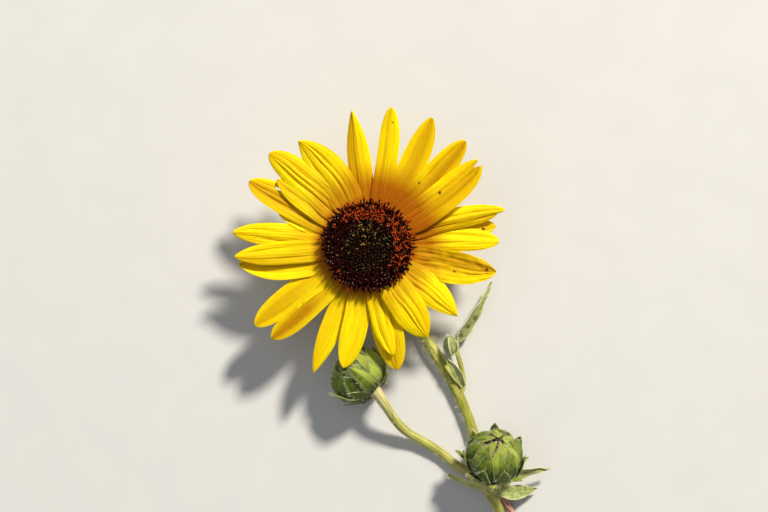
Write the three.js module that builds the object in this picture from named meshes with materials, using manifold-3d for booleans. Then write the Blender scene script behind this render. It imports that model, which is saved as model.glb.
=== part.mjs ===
// A cut spray of wild sunflower, laid on a table with its open flower facing up.
// One short main stem forks at a swollen node. From the node grow a round green bud on a stout
// stalk, a long stalk that runs out and turns up under the open flower, and a second stalk that
// carries another bud, face down beside the flower.
// Millimetres, +Z up, the table at z = 0. While it is built, x = 0 and y = 0 are under the middle
// of the open flower's disc; at the end the spray is moved so that the middle of its box is there.
import * as THREE from "three";
import { mergeVertices } from "three/addons/utils/BufferGeometryUtils.js";
import Module from "manifold-3d";

const wasm = await Module();
wasm.setup();

// Driving dimensions.
const CLEARANCE = 0.3; // between pieces that touch on the plant
const DISC_RADIUS = 15.1; // the dark middle of the flower
const HEAD_HEIGHT = 22; // of the ring that the petals grow from
const RING_RADIUS = 12.3; // where a petal's root begins
const PETAL_THICKNESS = 0.4;
const LAYER_STEP = 0.7; // between one layer of petals and the next
const TOP_LAYER = 5;
const NECK_RADIUS = 2.5; // where the flower stands on its stalk
const NECK_HEIGHT = 12.4;
const STEM_RADIUS = 1.7;
const NODE_RADIUS = 3.1; // the swelling where the stem forks
const FLOWER_STALK_RADII = { fork: 1.6, middle: 2.05, neck: 2.45 };
const REAR_STALK_RADII = { fork: 1.65, bud: 2.55 };
const FRONT_STALK_RADII = { fork: 3, bud: 4.2 };
const LEAF_STALK_RADII = { foot: 0.95, leaf: 0.8 };
const DRY_STALK_RADII = { foot: 1.2, end: 0.8 };
const STEM_SIDES = 12;
const SLIVER = 0.02; // how far a joined surface may move when its slivers are cleared away
const TIP_HALF_WIDTH = 0.25;
const CLOSER_TO_TIP = 1.4; // how much closer a blade's crosswise edges stand towards its tip

// The petals, in order round the disc. Angle is where the root stands, anticlockwise from +x;
// swing is how far round the tip has turned from it; reach is the tip's distance from the middle;
// arch and tip are how far the blade rises half way and at its end. Blunt tips are rounder.
const PETALS = [
  { angle: 5.4, swing: -3.4, reach: 43.8, width: 7.8, arch: 0.2, tip: -0.6, layer: 1, blunt: 1 },
  { angle: 10, swing: -1, reach: 43.2, width: 8.4, arch: 0.2, tip: -0.8, layer: 0, blunt: 0.8 },
  { angle: 19, swing: -4.6, reach: 47.1, width: 7, arch: 1.2, tip: 1.6, layer: 2, blunt: 0.8 },
  { angle: 31, swing: 5.8, reach: 46.9, width: 10.6, arch: 2.6, tip: 5.5, layer: 3, blunt: 1 },
  { angle: 46, swing: 1.2, reach: 47.4, width: 8.6, arch: 3, tip: 5.5, layer: 1, blunt: 1 },
  { angle: 60, swing: 3.5, reach: 47.5, width: 8.8, arch: 3, tip: 5.5, layer: 0, blunt: 0.8 },
  { angle: 76, swing: 4.4, reach: 46.5, width: 7, arch: 2.8, tip: 5, layer: 1, blunt: 1 },
  { angle: 95.5, swing: 1.3, reach: 45.2, width: 7.7, arch: 2.2, tip: 4.5, layer: 0, blunt: 0 },
  { angle: 114.5, swing: 9, reach: 41.8, width: 12.1, arch: 1.6, tip: 1.5, layer: 4, blunt: 0.2 },
  { angle: 131.5, swing: 5.4, reach: 45, width: 10, arch: 1.4, tip: 0.5, layer: 3, blunt: 1 },
  { angle: 143, swing: 0.6, reach: 37.5, width: 8, arch: 0.9, tip: 0, layer: 2, blunt: 0.6 },
  { angle: 151, swing: 0.4, reach: 45.2, width: 9.6, arch: 0.8, tip: -0.8, layer: 1, blunt: 1 },
  { angle: 160, swing: -1.6, reach: 32.8, width: 6.2, arch: 0.4, tip: -1.2, layer: 0, blunt: 0.4 },
  { angle: 172, swing: 2.3, reach: 45.5, width: 7.9, arch: 0.6, tip: -1.2, layer: 1, blunt: 0.7 },
  { angle: 184.6, swing: 0, reach: 44.7, width: 7.8, arch: 0.8, tip: -0.8, layer: 2, blunt: 0.5 },
  { angle: 196, swing: -8, reach: 43.9, width: 10, arch: 0.2, tip: -2.5, layer: 0, blunt: 0.2 },
  { angle: 212, swing: 3.2, reach: 46.2, width: 9, arch: 0.2, tip: -2, layer: 1, blunt: 1 },
  { angle: 225.5, swing: -1.8, reach: 44.6, width: 8.4, arch: 0.2, tip: -1.6, layer: 2, blunt: 1 },
  { angle: 245.5, swing: 1.3, reach: 46.2, width: 7.4, arch: 0, tip: -2.5, layer: 0, blunt: 0.2 },
  { angle: 262, swing: -3.3, reach: 41.5, width: 8.7, arch: 0.2, tip: -1.6, layer: 1, blunt: 0.8 },
  { angle: 279, swing: 4, reach: 37.5, width: 6.6, arch: 0.6, tip: -1.6, layer: 2, blunt: 0.5 },
  { angle: 283, swing: 0, reach: 42.5, width: 10.6, arch: 0, tip: -2.2, layer: 0, blunt: 0.8 },
  { angle: 303, swing: 0, reach: 36.4, width: 11.2, arch: 2.2, tip: -5, layer: 5, blunt: 0.4 },
  { angle: 326, swing: -4, reach: 38, width: 9.8, arch: 1.5, tip: -4, layer: 4, blunt: 0 },
  { angle: 344.5, swing: 4, reach: 43.6, width: 11.2, arch: 0.4, tip: -1.2, layer: 3, blunt: 0.5 },
];

// The stalks' routes, from the node outwards, as points on their centre lines.
const STEM_ROUTE = [
  [53.4, -120, 1.9],
  [50.8, -110.5, 1.9],
  [48, -101, 2],
  [45.1, -91.5, 2.8],
  [42.2, -83.4, 4],
];
const FLOWER_STALK_ROUTE = [
  [41.6, -82.4, 3.9],
  [39.8, -77.1, 3],
  [37.8, -71.7, 2.5],
  [36.5, -65.8, 2.2],
  [33.8, -57.9, 2.1],
  [30.2, -49.3, 2.1],
  [27.6, -44.4, 2.1],
  [22.7, -36.7, 2.1],
  [20, -32.1, 2.1],
  [14.3, -21.6, 2.1],
  [8.7, -12.8, 2.15],
  [4.6, -6.4, 3.1],
  [1.9, -2.5, 5.6],
  [0.4, -0.5, 9],
  [0, 0, NECK_HEIGHT + 0.5],
];
const REAR_STALK_ROUTE = [
  [41, -82.4, 3.7],
  [35.1, -78.5, 2.5],
  [29.5, -74.7, 2],
  [24.4, -70.6, 1.9],
  [17.5, -66.4, 2.6],
  [12.7, -63.2, 4.6],
  [8.8, -58.9, 7.6],
  [5.6, -53.8, 11],
  [1.6, -47.8, 12.4],
];

// The buds: where each is, and the way that it faces.
const FRONT_BUD = { centre: [42.6, -70.6, 16.2], facing: [0.05, 0.71, 0.7], radius: 8.5, half: 7.1 };
const REAR_BUD = { centre: [-3.2, -43.8, 11.1], facing: [-0.76, 0.61, -0.21], radius: 9.2, half: 8.2 };
const BRACT_THICKNESS = 0.4;
const BRACT_ROWS = [
  // from and to are degrees from the bud's foot, and out is how far the tip stands off
  { count: 8, from: 30, to: 118, width: 5.4, lift: 0.9, out: 1.5, turn: 0 },
  { count: 8, from: 40, to: 150, width: 5.8, lift: 0.5, out: 0.9, turn: 0.5 },
];

// The pointed green bracts under the petals, in two rows.
const COLLAR_ROWS = [
  { count: 11, root: [9.5, -5.2], bend: [18, -5.4], tip: [25.4, -10.5], width: 5.6, turn: 0 },
  { count: 11, root: [11.2, -3.4], bend: [19, -3.4], tip: [26.4, -6.6], width: 6, turn: 0.5 },
];

// Small leaves: the route of each midrib, its full width and how far round it is rolled.
const LEAVES = {
  narrow_leaf: {
    route: [[30.3, -31.6, 5.4], [33, -27.6, 6.2], [35.7, -23.5, 6.8], [38.4, -18.7, 6.8], [41.9, -12.2, 5.2]],
    width: 5.2,
    roll: 58,
    broadest: 0.25,
  },
  axil_leaf: {
    route: [[32.7, -47.6, 4.3], [29.6, -42.3, 6.4], [26.5, -37.8, 6.6]],
    width: 3.2,
    roll: -25,
    broadest: 0.45,
  },
  node_leaf_upper: {
    route: [[44.4, -82.2, 5], [47.6, -79.4, 6.8], [51.6, -77.5, 7.6], [56.4, -76.4, 7], [62, -76, 5.2]],
    width: 4.2,
    roll: 50,
    broadest: 0.5,
  },
  node_leaf_lower: {
    route: [[43.6, -83.8, 4.4], [49.2, -84.6, 4.4], [53, -84.1, 3.6], [58, -83.3, 2.4]],
    width: 5,
    roll: -24,
    broadest: 0.5,
  },
  node_leaf_left: {
    route: [[40.6, -83, 5], [37.4, -81.7, 6.6], [33.7, -80.7, 7.4], [30.1, -79.2, 7], [27.4, -77.8, 7.6]],
    width: 2.2,
    roll: 30,
    broadest: 0.4,
  },
};
const LEAF_THICKNESS = 0.5;
const AXIL_BUD = { centre: [28, -34, 7.2], facing: [-0.1, 0.97, 0.22], radius: 2.4, half: 3.1 };

// Two thin stalks: the one that carries the narrow leaf, and a dead one beside the main stem.
const LEAF_STALK_ROUTE = [
  [31, -52.2, 2.6],
  [32.6, -47, 3.6],
  [31.7, -41, 4],
  [30.2, -35.4, 4.2],
  [30, -32, 5.2],
];
const DRY_STALK_ROUTE = [
  [44.4, -85, 3],
  [47.3, -88, 2.8],
  [49.6, -92.6, 1.9],
  [51.6, -98, 1.2],
];

const FINISH = {
  petal: { color: 0xf2c312, roughness: 0.55 },
  florets: { color: 0x3d1409, roughness: 0.9 },
  bract: { color: 0x6f8a3c, roughness: 0.8 },
  stem: { color: 0xa9ab52, roughness: 0.75 },
  leaf: { color: 0x94a263, roughness: 0.8 },
  dry: { color: 0xa8745c, roughness: 0.9 },
};

const { degToRad: radians, lerp, clamp } = THREE.MathUtils;
const ramp = (t, from, to) => clamp((t - from) / (to - from), 0, 1);
const point = (list) => new THREE.Vector3(...list);
const UPWARDS = point([0, 0, 1]);
const routeOf = (list) => new THREE.CatmullRomCurve3(list.map(point), false, "centripetal");

// A closed geometry as a solid that can be joined or cut.
function solidOf(geometry) {
  const bare = geometry.clone();
  bare.deleteAttribute("normal");
  bare.deleteAttribute("uv");
  const merged = mergeVertices(bare, 1e-4);
  return new wasm.Manifold(
    new wasm.Mesh({
      numProp: 3,
      vertProperties: merged.attributes.position.array,
      triVerts: new Uint32Array(merged.index.array),
    }),
  );
}

// A solid's surface, without the slivers that a join leaves.
function geometryOf(solid) {
  const { vertProperties, triVerts } = solid.simplify(SLIVER).getMesh();
  return new THREE.BufferGeometry()
    .setAttribute("position", new THREE.BufferAttribute(vertProperties, 3))
    .setIndex(new THREE.BufferAttribute(triVerts, 1));
}

function fused(geometries) {
  return geometryOf(geometries.map(solidOf).reduce((whole, next) => whole.add(next)));
}

// Cuts a piece back from the larger ones that it grows on, and keeps what is left outside them.
function cutClear(geometry, ...neighbours) {
  const cut = neighbours.reduce((rest, neighbour) => rest.subtract(solidOf(neighbour)), solidOf(geometry));
  const parts = cut.decompose().sort((a, b) => b.volume() - a.volume());
  return geometryOf(parts[0]);
}

function mesh(name, geometry, finish) {
  const made = new THREE.Mesh(geometry, new THREE.MeshStandardMaterial({ metalness: 0, ...FINISH[finish] }));
  made.name = name;
  return made;
}

// A round stalk along a route; radiusAt gives its radius from 0, the start, to 1, the end.
function stalk(route, radiusAt, steps) {
  const curve = routeOf(route);
  const { normals, binormals } = curve.computeFrenetFrames(steps);
  const tube = new THREE.CylinderGeometry(1, 1, 1, STEM_SIDES, steps);
  const corner = tube.attributes.position;
  for (let i = 0; i < corner.count; i++) {
    const t = corner.getY(i) + 0.5;
    const step = Math.round(t * steps);
    const at = curve
      .getPointAt(t)
      .addScaledVector(binormals[step], corner.getX(i) * radiusAt(t))
      .addScaledVector(normals[step], corner.getZ(i) * radiusAt(t));
    corner.setXYZ(i, at.x, at.y, at.z);
  }
  return tube;
}

// A thin blade along a curve: petal, bract or leaf. halfWidth gives half its width from 0, the
// root, to 1, the tip; up is the way its face looks, and roll turns it round its own midrib.
function blade(curve, { halfWidth, thickness, up = UPWARDS, roll = 0, along = 8 }) {
  const box = new THREE.BoxGeometry(1, 2, 1, along, 2, 1);
  const corner = box.attributes.position;
  for (let i = 0; i < corner.count; i++) {
    const t = 1 - (0.5 - corner.getX(i)) ** CLOSER_TO_TIP;
    const forward = curve.getTangentAt(t);
    const side = up.clone().cross(forward).normalize().applyAxisAngle(forward, radians(roll));
    const face = forward.clone().cross(side);
    const half = halfWidth(t);
    const at = curve
      .getPointAt(t)
      .addScaledVector(side, corner.getY(i) * half)
      .addScaledVector(face, corner.getZ(i) * thickness);
    corner.setXYZ(i, at.x, at.y, at.z);
  }
  return box;
}

// A petal's half width: narrow at the root, broadest half way, and pointed or blunt at the tip.
function petalHalfWidth(width, blunt) {
  const ROOT_SHARE = 0.42;
  return (t) => {
    const spread = lerp(ROOT_SHARE, 1, Math.sin((Math.PI / 2) * ramp(t, 0, 0.5)));
    const past = ramp(t, 0.5, 1);
    const end = (1 - past ** (1.7 + blunt)) ** (0.85 - 0.3 * blunt);
    return Math.max(TIP_HALF_WIDTH, (width / 2) * spread * end);
  };
}

// A leaf's or bract's half width: an oval drawn out to a point.
function leafHalfWidth(width, broadest) {
  const ROOT_SHARE = 0.45;
  return (t) => {
    const rise = lerp(ROOT_SHARE, 1, Math.sin((Math.PI / 2) * ramp(t, 0, broadest)));
    return Math.max(TIP_HALF_WIDTH, (width / 2) * rise * (1 - ramp(t, broadest, 1) ** 1.5));
  };
}

function petal({ angle, swing, reach, width, arch, tip, layer, blunt }, name) {
  const midway = RING_RADIUS + 0.55 * (reach - RING_RADIUS);
  const curve = new THREE.QuadraticBezierCurve3(
    new THREE.Vector3(RING_RADIUS, 0, 0),
    new THREE.Vector3(midway, 0, arch),
    new THREE.Vector3(reach * Math.cos(radians(swing)), reach * Math.sin(radians(swing)), tip),
  );
  const shape = { halfWidth: petalHalfWidth(width, blunt), thickness: PETAL_THICKNESS };
  const made = mesh(name, blade(curve, shape), "petal");
  made.rotation.z = radians(angle);
  made.position.z = layer * LAYER_STEP;
  return made;
}

// The disc: a boss that stands on the receptacle, and a low dome that overhangs the petals' roots.
function disc() {
  const bossRadius = RING_RADIUS - CLEARANCE;
  const underside = TOP_LAYER * LAYER_STEP + PETAL_THICKNESS / 2 + CLEARANCE;
  const profile = [
    [0, -PETAL_THICKNESS / 2],
    [bossRadius, -PETAL_THICKNESS / 2],
    [bossRadius, underside],
    [DISC_RADIUS - 0.4, underside],
    [DISC_RADIUS, underside + 1],
    [DISC_RADIUS - 0.7, underside + 2.6],
    [DISC_RADIUS * 0.8, underside + 3.7],
    [DISC_RADIUS * 0.55, underside + 3.9],
    [DISC_RADIUS * 0.3, underside + 3.5],
    [0, underside + 3.3],
  ];
  return mesh("flower_disc", lathe(profile, 36), "florets");
}

// A round solid about z; the profile runs from the axis at the bottom to the axis at the top.
function lathe(profile, segments) {
  const turned = new THREE.LatheGeometry(
    profile.map(([r, z]) => new THREE.Vector2(r, z)),
    segments,
  );
  return turned.rotateX(Math.PI / 2);
}

// The receptacle with its collar of bracts: one solid.
function collar() {
  const top = -PETAL_THICKNESS / 2 - CLEARANCE;
  const receptacle = lathe(
    [
      [0, NECK_HEIGHT - HEAD_HEIGHT],
      [NECK_RADIUS, NECK_HEIGHT - HEAD_HEIGHT],
      [NECK_RADIUS + 0.6, NECK_HEIGHT - HEAD_HEIGHT + 1.6],
      [7.5, -6.4],
      [11.8, -4],
      [14, -1.6],
      [13.8, top],
      [0, top],
    ],
    30,
  );
  const bracts = COLLAR_ROWS.flatMap(({ count, root, bend, tip, width, turn }) =>
    Array.from({ length: count }, (_, i) => {
      const [start, middle, end] = [root, bend, tip].map(([r, z]) => new THREE.Vector3(r, 0, z));
      const curve = new THREE.QuadraticBezierCurve3(start, middle, end);
      const shape = { halfWidth: leafHalfWidth(width, 0.35), thickness: 0.5, along: 5 };
      return blade(curve, shape).rotateZ((2 * Math.PI * (i + turn)) / count);
    }),
  );
  return mesh("flower_collar", fused([receptacle, ...bracts]), "bract");
}

// A bud's round core, as it stands, or grown all round to cut a stalk clear of it.
function budCore({ centre, facing, radius, half }, grow = 0) {
  const core = new THREE.SphereGeometry(1, 18, 10).rotateX(Math.PI / 2);
  core.scale(radius + grow, radius + grow, half + grow);
  return core.applyQuaternion(turnTo(facing)).translate(...centre);
}

function turnTo(facing) {
  return new THREE.Quaternion().setFromUnitVectors(new THREE.Vector3(0, 0, 1), point(facing).normalize());
}

// A bud: its core, clad with rows of bracts whose tips stand off it.
function bud(name, shape, rows) {
  const OUTWARDS = point([1, 0, 0]);
  const { centre, facing, radius, half } = shape;
  const clad = rows.flatMap(({ count, from, to, width, lift, out, turn }) =>
    Array.from({ length: count }, (_, i) => {
      const stops = [0, 1, 2, 3].map((step) => {
        const angle = radians(from + (step / 3) * (to - from));
        const off = (step > 0 ? lift : 0) + (step === 3 ? out : 0);
        return new THREE.Vector3((radius + off) * Math.sin(angle), 0, -(half + off) * Math.cos(angle));
      });
      const bract = {
        halfWidth: leafHalfWidth((width * radius) / FRONT_BUD.radius, 0.4),
        thickness: BRACT_THICKNESS,
        up: OUTWARDS,
        along: 6,
      };
      const placed = blade(new THREE.CatmullRomCurve3(stops), bract).rotateZ((2 * Math.PI * (i + turn)) / count);
      return placed.applyQuaternion(turnTo(facing)).translate(...centre);
    }),
  );
  return mesh(name, fused([budCore(shape), ...clad]), "bract");
}

// The main stem, thickest at the swelling where it forks.
function mainStem(grow = 0) {
  const radiusAt = (t) => grow + lerp(STEM_RADIUS, NODE_RADIUS, ramp(t, 0.84, 1) ** 1.3);
  const swelling = new THREE.SphereGeometry(NODE_RADIUS + grow, 16, 10).translate(...STEM_ROUTE.at(-1));
  return fused([stalk(STEM_ROUTE, radiusAt, 14), swelling]);
}

// The flower's stalk, thickest below the flower.
function flowerStalk(grow = 0) {
  const { fork, middle, neck } = FLOWER_STALK_RADII;
  const radiusAt = (t) => grow + lerp(lerp(fork, middle, ramp(t, 0, 0.5)), neck, ramp(t, 0.9, 1));
  return stalk(FLOWER_STALK_ROUTE, radiusAt, 36);
}

function rearBudStalk() {
  const { fork, bud: end } = REAR_STALK_RADII;
  return stalk(REAR_STALK_ROUTE, (t) => lerp(fork, end, ramp(t, 0.8, 1) ** 2), 24);
}

function frontBudStalk(grow = 0) {
  const { fork, bud: end } = FRONT_STALK_RADII;
  return stalk([STEM_ROUTE.at(-1), FRONT_BUD.centre], (t) => grow + lerp(fork, end, t), 8);
}

function leafStalk(grow = 0) {
  const { foot, leaf } = LEAF_STALK_RADII;
  return stalk(LEAF_STALK_ROUTE, (t) => grow + lerp(foot, leaf, t), 14);
}

function dryStalk() {
  return stalk(DRY_STALK_ROUTE, (t) => lerp(DRY_STALK_RADII.foot, DRY_STALK_RADII.end, t), 8);
}

// The room that the flower's head takes, which its stalk stops short of.
function headRoom() {
  const height = 4;
  const room = new THREE.CylinderGeometry(2 * NECK_RADIUS, 2 * NECK_RADIUS, height, 24);
  return room.rotateX(Math.PI / 2).translate(0, 0, NECK_HEIGHT - CLEARANCE + height / 2);
}

const spray = new THREE.Group();
const larger = [mainStem(CLEARANCE), flowerStalk(CLEARANCE)];
const frontRoom = budCore(FRONT_BUD, CLEARANCE);
const rearRoom = budCore(REAR_BUD, CLEARANCE);
spray.add(mesh("main_stem", mainStem(), "stem"));
spray.add(mesh("flower_stalk", cutClear(flowerStalk(), mainStem(CLEARANCE), headRoom()), "stem"));
spray.add(
  mesh("rear_bud_stalk", cutClear(rearBudStalk(), ...larger, frontBudStalk(CLEARANCE), rearRoom), "stem"),
);
spray.add(mesh("front_bud_stalk", cutClear(frontBudStalk(), ...larger, frontRoom), "stem"));
spray.add(mesh("leaf_stalk", cutClear(leafStalk(), ...larger), "stem"));
spray.add(mesh("dry_stalk", cutClear(dryStalk(), ...larger), "dry"));
spray.add(bud("front_bud", FRONT_BUD, BRACT_ROWS));
spray.add(bud("rear_bud", REAR_BUD, BRACT_ROWS));
spray.add(bud("axil_bud", AXIL_BUD, []));

const stalks = [...larger, frontBudStalk(CLEARANCE), leafStalk(CLEARANCE)];
for (const [name, { route, width, roll, broadest }] of Object.entries(LEAVES)) {
  const shape = { halfWidth: leafHalfWidth(width, broadest), thickness: LEAF_THICKNESS, roll, along: 10 };
  spray.add(mesh(name, cutClear(blade(routeOf(route), shape), ...stalks), "leaf"));
}

const head = new THREE.Group();
head.position.z = HEAD_HEIGHT;
head.add(disc(), collar());
PETALS.forEach((shape, i) => head.add(petal(shape, `petal_${String(i + 1).padStart(2, "0")}`)));
spray.add(head);

// The origin is the middle of the foot of the spray's box.
const box = new THREE.Box3().setFromObject(spray, true);
const middle = box.getCenter(new THREE.Vector3());
spray.position.set(-middle.x, -middle.y, -box.min.z);

export default spray;
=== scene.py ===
# A cut spray of wild sunflower, laid on a table with its open flower facing up. It is put together
# as it grew: the stem and its stalks, the small leaves, the buds, then the flower's collar, disc
# and rays. Metres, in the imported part's frame, with the table at z = 0.
import math
import random

import bpy
from mathutils import Matrix, Vector, kdtree, noise


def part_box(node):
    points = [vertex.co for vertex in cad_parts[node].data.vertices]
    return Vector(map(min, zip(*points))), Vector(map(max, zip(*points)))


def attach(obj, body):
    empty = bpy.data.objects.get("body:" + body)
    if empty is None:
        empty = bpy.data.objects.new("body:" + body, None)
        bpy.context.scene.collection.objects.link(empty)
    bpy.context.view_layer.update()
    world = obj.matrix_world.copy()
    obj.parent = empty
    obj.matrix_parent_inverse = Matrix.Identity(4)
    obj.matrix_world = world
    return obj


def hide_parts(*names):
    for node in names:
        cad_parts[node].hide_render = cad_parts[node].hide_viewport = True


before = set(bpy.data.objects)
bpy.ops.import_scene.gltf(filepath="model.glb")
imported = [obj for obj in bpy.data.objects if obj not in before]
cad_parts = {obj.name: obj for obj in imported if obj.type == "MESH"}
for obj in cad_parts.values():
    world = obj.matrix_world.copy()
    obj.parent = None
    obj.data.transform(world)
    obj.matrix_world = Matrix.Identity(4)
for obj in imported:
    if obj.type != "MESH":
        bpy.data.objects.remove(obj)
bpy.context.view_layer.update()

# The stems: green, ribbed and rough with stiff hairs. The main stem is cut square at its foot and
# swells at the node, where a stalk leaves it for the flower, one for each bud, and one for a leaf.
# Each stalk is a tube drawn along its own line; the rind is living tissue, faintly glossy.
MM = 0.001
DISC_UNDERSIDE = 21.8  # mm above the table, where the disc's solid begins
disc_low, disc_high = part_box("flower_disc")
UNDER_FLOWER = Vector(
    ((disc_low.x + disc_high.x) / 2, (disc_low.y + disc_high.y) / 2, disc_low.z - DISC_UNDERSIDE * MM)
)
STEM_ROUTE = [(53.4, -120, 1.9), (50.8, -110.5, 1.9), (48, -101, 2), (45.1, -91.5, 2.8), (42.2, -83.4, 4)]
FLOWER_STALK_ROUTE = [
    (42, -83.2, 4), (39.8, -77.1, 3), (37.8, -71.7, 2.5), (36.5, -65.8, 2.2), (33.8, -57.9, 2.1),
    (30.2, -49.3, 2.1), (27.6, -44.4, 2.1), (22.7, -36.7, 2.1), (20, -32.1, 2.1), (14.3, -21.6, 2.1),
    (8.7, -12.8, 2.15), (4.6, -6.4, 3.1), (1.9, -2.5, 5.6), (0.4, -0.5, 9), (0, 0, 13.4),
]
REAR_STALK_ROUTE = [
    (42, -83.1, 3.9), (35.1, -78.5, 2.5), (29.5, -74.7, 2), (24.4, -70.6, 1.9), (17.5, -66.4, 2.6),
    (12.7, -63.2, 4.6), (8.8, -58.9, 7.6), (5.6, -53.8, 11), (2.6, -49.4, 12.2), (1.2, -47.7, 12),
]
FRONT_STALK_ROUTE = [(42.2, -83.4, 4), (42.3, -79.2, 8), (42.5, -74.9, 12.2)]
LEAF_STALK_ROUTE = [(31, -52.2, 2.6), (32.6, -47, 3.6), (31.7, -41, 4), (30.2, -35.4, 4.2), (30, -31, 5.3)]
NODE_RADIUS = 3.1
NODE_SWELLINGS = [  # x, y, z and radius of the flesh that joins the stalks at the node
    (42.2, -83.4, 4, 3.15), (41.7, -81.8, 3.8, 2.8), (40.9, -79.9, 3.3, 2.25), (40.2, -78, 3.05, 1.85),
    (40.6, -82.4, 3.7, 2.6), (38.8, -81, 3.25, 2.15), (37, -79.8, 2.85, 1.75), (42.2, -81.8, 5.6, 3.4), (42.25, -80.4, 7, 3.5),
]
RIBS, RIB_HEIGHT = 9, 0.035  # a share of the stalk's radius
STEM_SPACING = 0.5  # mm between the rings of a stalk


def spot(x, y, z):
    "A point of the spray, from millimetres measured from the table under the flower's middle."
    return UNDER_FLOWER + Vector((x, y, z)) * MM


def ramp(t, low, high):
    return min(1.0, max(0.0, (t - low) / (high - low)))


def blend(a, b, t):
    return a + (b - a) * t


def evenly(points, count):
    "The same line as count + 1 points with equal steps between them."
    lengths = [0.0]
    for a, b in zip(points, points[1:]):
        lengths.append(lengths[-1] + (b - a).length)
    line, i = [], 0
    for step in range(count + 1):
        goal = lengths[-1] * step / count
        while i < len(points) - 2 and lengths[i + 1] < goal:
            i += 1
        line.append(points[i].lerp(points[i + 1], ramp(goal, lengths[i], lengths[i + 1])))
    return line


def grown_line(route, spacing):
    "A smooth line through a route's points, as a growing stalk takes it."
    points = [spot(*p) for p in route]
    whole = [2 * points[0] - points[1], *points, 2 * points[-1] - points[-2]]
    fine = []
    for a, b, c, d in zip(whole, whole[1:], whole[2:], whole[3:]):
        before, here, after = (max((q - p).length, 1e-9) ** 0.5 for p, q in ((a, b), (b, c), (c, d)))
        leave = ((b - a) / before - (c - a) / (before + here) + (c - b) / here) * here
        arrive = ((c - b) / here - (d - b) / (here + after) + (d - c) / after) * here
        for k in range(20):
            u = k / 20
            fine.append(
                b * (2 * u**3 - 3 * u**2 + 1) + leave * (u**3 - 2 * u**2 + u)
                + c * (3 * u**2 - 2 * u**3) + arrive * (u**3 - u**2)
            )
    fine.append(points[-1])
    length = sum((q - p).length for p, q in zip(fine, fine[1:]))
    return evenly(fine, max(4, round(length / (spacing * MM))))


def only(piece):
    bpy.ops.object.select_all(action="DESELECT")
    piece.select_set(True)
    bpy.context.view_layer.objects.active = piece
    return piece


def named(name):
    "The object that was just added, under its own name."
    piece = bpy.context.object
    piece.name = piece.data.name = name
    return piece


def closed(piece, angle=40):
    "Merges what meets, turns all faces outwards and shades the piece smooth."
    only(piece)
    bpy.ops.object.mode_set(mode="EDIT")
    bpy.ops.mesh.select_all(action="SELECT")
    bpy.ops.mesh.remove_doubles(threshold=0.004 * MM)
    bpy.ops.mesh.normals_make_consistent(inside=False)
    bpy.ops.object.mode_set(mode="OBJECT")
    bpy.ops.object.shade_smooth_by_angle(angle=math.radians(angle))
    return piece


def applied(piece, kind, **settings):
    "Adds a modifier and applies it."
    only(piece)
    modifier = piece.modifiers.new(kind.title(), kind)
    for key, value in settings.items():
        setattr(modifier, key, value)
    bpy.ops.object.modifier_apply(modifier=modifier.name)
    return piece


def stalk(name, route, radius_at):
    "A ribbed tube along a route; radius_at gives its radius in mm from 0, the foot, to 1, the end."
    bpy.ops.object.select_all(action="DESELECT")
    line = grown_line(route, STEM_SPACING)
    bpy.ops.curve.primitive_nurbs_circle_add()
    section = bpy.context.object
    ring = section.data.splines[0]
    ring.type = "POLY"
    ring.points.add(5 * RIBS - len(ring.points))
    for i, corner in enumerate(ring.points):
        angle = math.tau * i / len(ring.points)
        reach = 1 + RIB_HEIGHT * (math.cos(RIBS * angle) - 1)
        corner.co = (reach * math.cos(angle), reach * math.sin(angle), 0, 1)
    bpy.ops.curve.primitive_nurbs_path_add()
    tube = named(name)
    path = tube.data.splines[0]
    path.type = "POLY"
    path.points.add(len(line) - len(path.points))
    for i, corner in enumerate(path.points):
        corner.co = (*line[i], 1)
        corner.radius = radius_at(i / (len(line) - 1)) * MM
    tube.data.bevel_mode = "OBJECT"
    tube.data.bevel_object = section
    tube.data.use_fill_caps = True
    tube.location = (0, 0, 0)
    only(tube)
    bpy.ops.object.convert(target="MESH")
    tube = named(name)
    bpy.data.objects.remove(section)
    return closed(tube), line


def grained(piece, line, stretch=9.0):
    "Marks how the grain runs on a stalk: millimetres across its line, and along it, drawn out."
    marks = piece.data.attributes.new("grain", "FLOAT_VECTOR", "POINT")
    side = (line[-1] - line[0]).cross(Vector((0, 0, 1))).normalized()
    spacing = (line[1] - line[0]).length
    tree = kdtree.KDTree(len(line))
    for i, point in enumerate(line):
        tree.insert(point, i)
    tree.balance()
    for vertex in piece.data.vertices:
        near = tree.find(vertex.co)[1]
        forward = (line[min(near + 1, len(line) - 1)] - line[max(near - 1, 0)]).normalized()
        across = (side - forward * side.dot(forward)).normalized()
        off = vertex.co - line[near]
        along = near * spacing + off.dot(forward)
        marks.data[vertex.index].vector = (
            off.dot(across) / MM, off.dot(forward.cross(across)) / MM, along / MM / stretch
        )
    return piece


def colour(hex_value):
    "An sRGB colour as Blender's linear one."
    parts = [int(hex_value[i : i + 2], 16) / 255 for i in (1, 3, 5)]
    return (*(c / 12.92 if c <= 0.04045 else ((c + 0.055) / 1.055) ** 2.4 for c in parts), 1)


def add_node(material, kind, settings=(), inputs=()):
    "Adds a node with its settings and inputs; an input is a number, a colour or another's output."
    made = material.node_tree.nodes.new("ShaderNode" + kind)
    for key, value in dict(settings).items():
        if key == "stops":
            stops = made.color_ramp.elements
            while len(stops) < len(value):
                stops.new(1)
            for stop, (position, shade) in zip(stops, value):
                stop.position, stop.color = position, colour(shade) if isinstance(shade, str) else (shade,) * 3 + (1,)
        else:
            setattr(made, key, value)
    for key, value in dict(inputs).items():
        if isinstance(value, bpy.types.NodeSocket):
            material.node_tree.links.new(value, made.inputs[key])
        else:
            made.inputs[key].default_value = value
    return made


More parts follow.
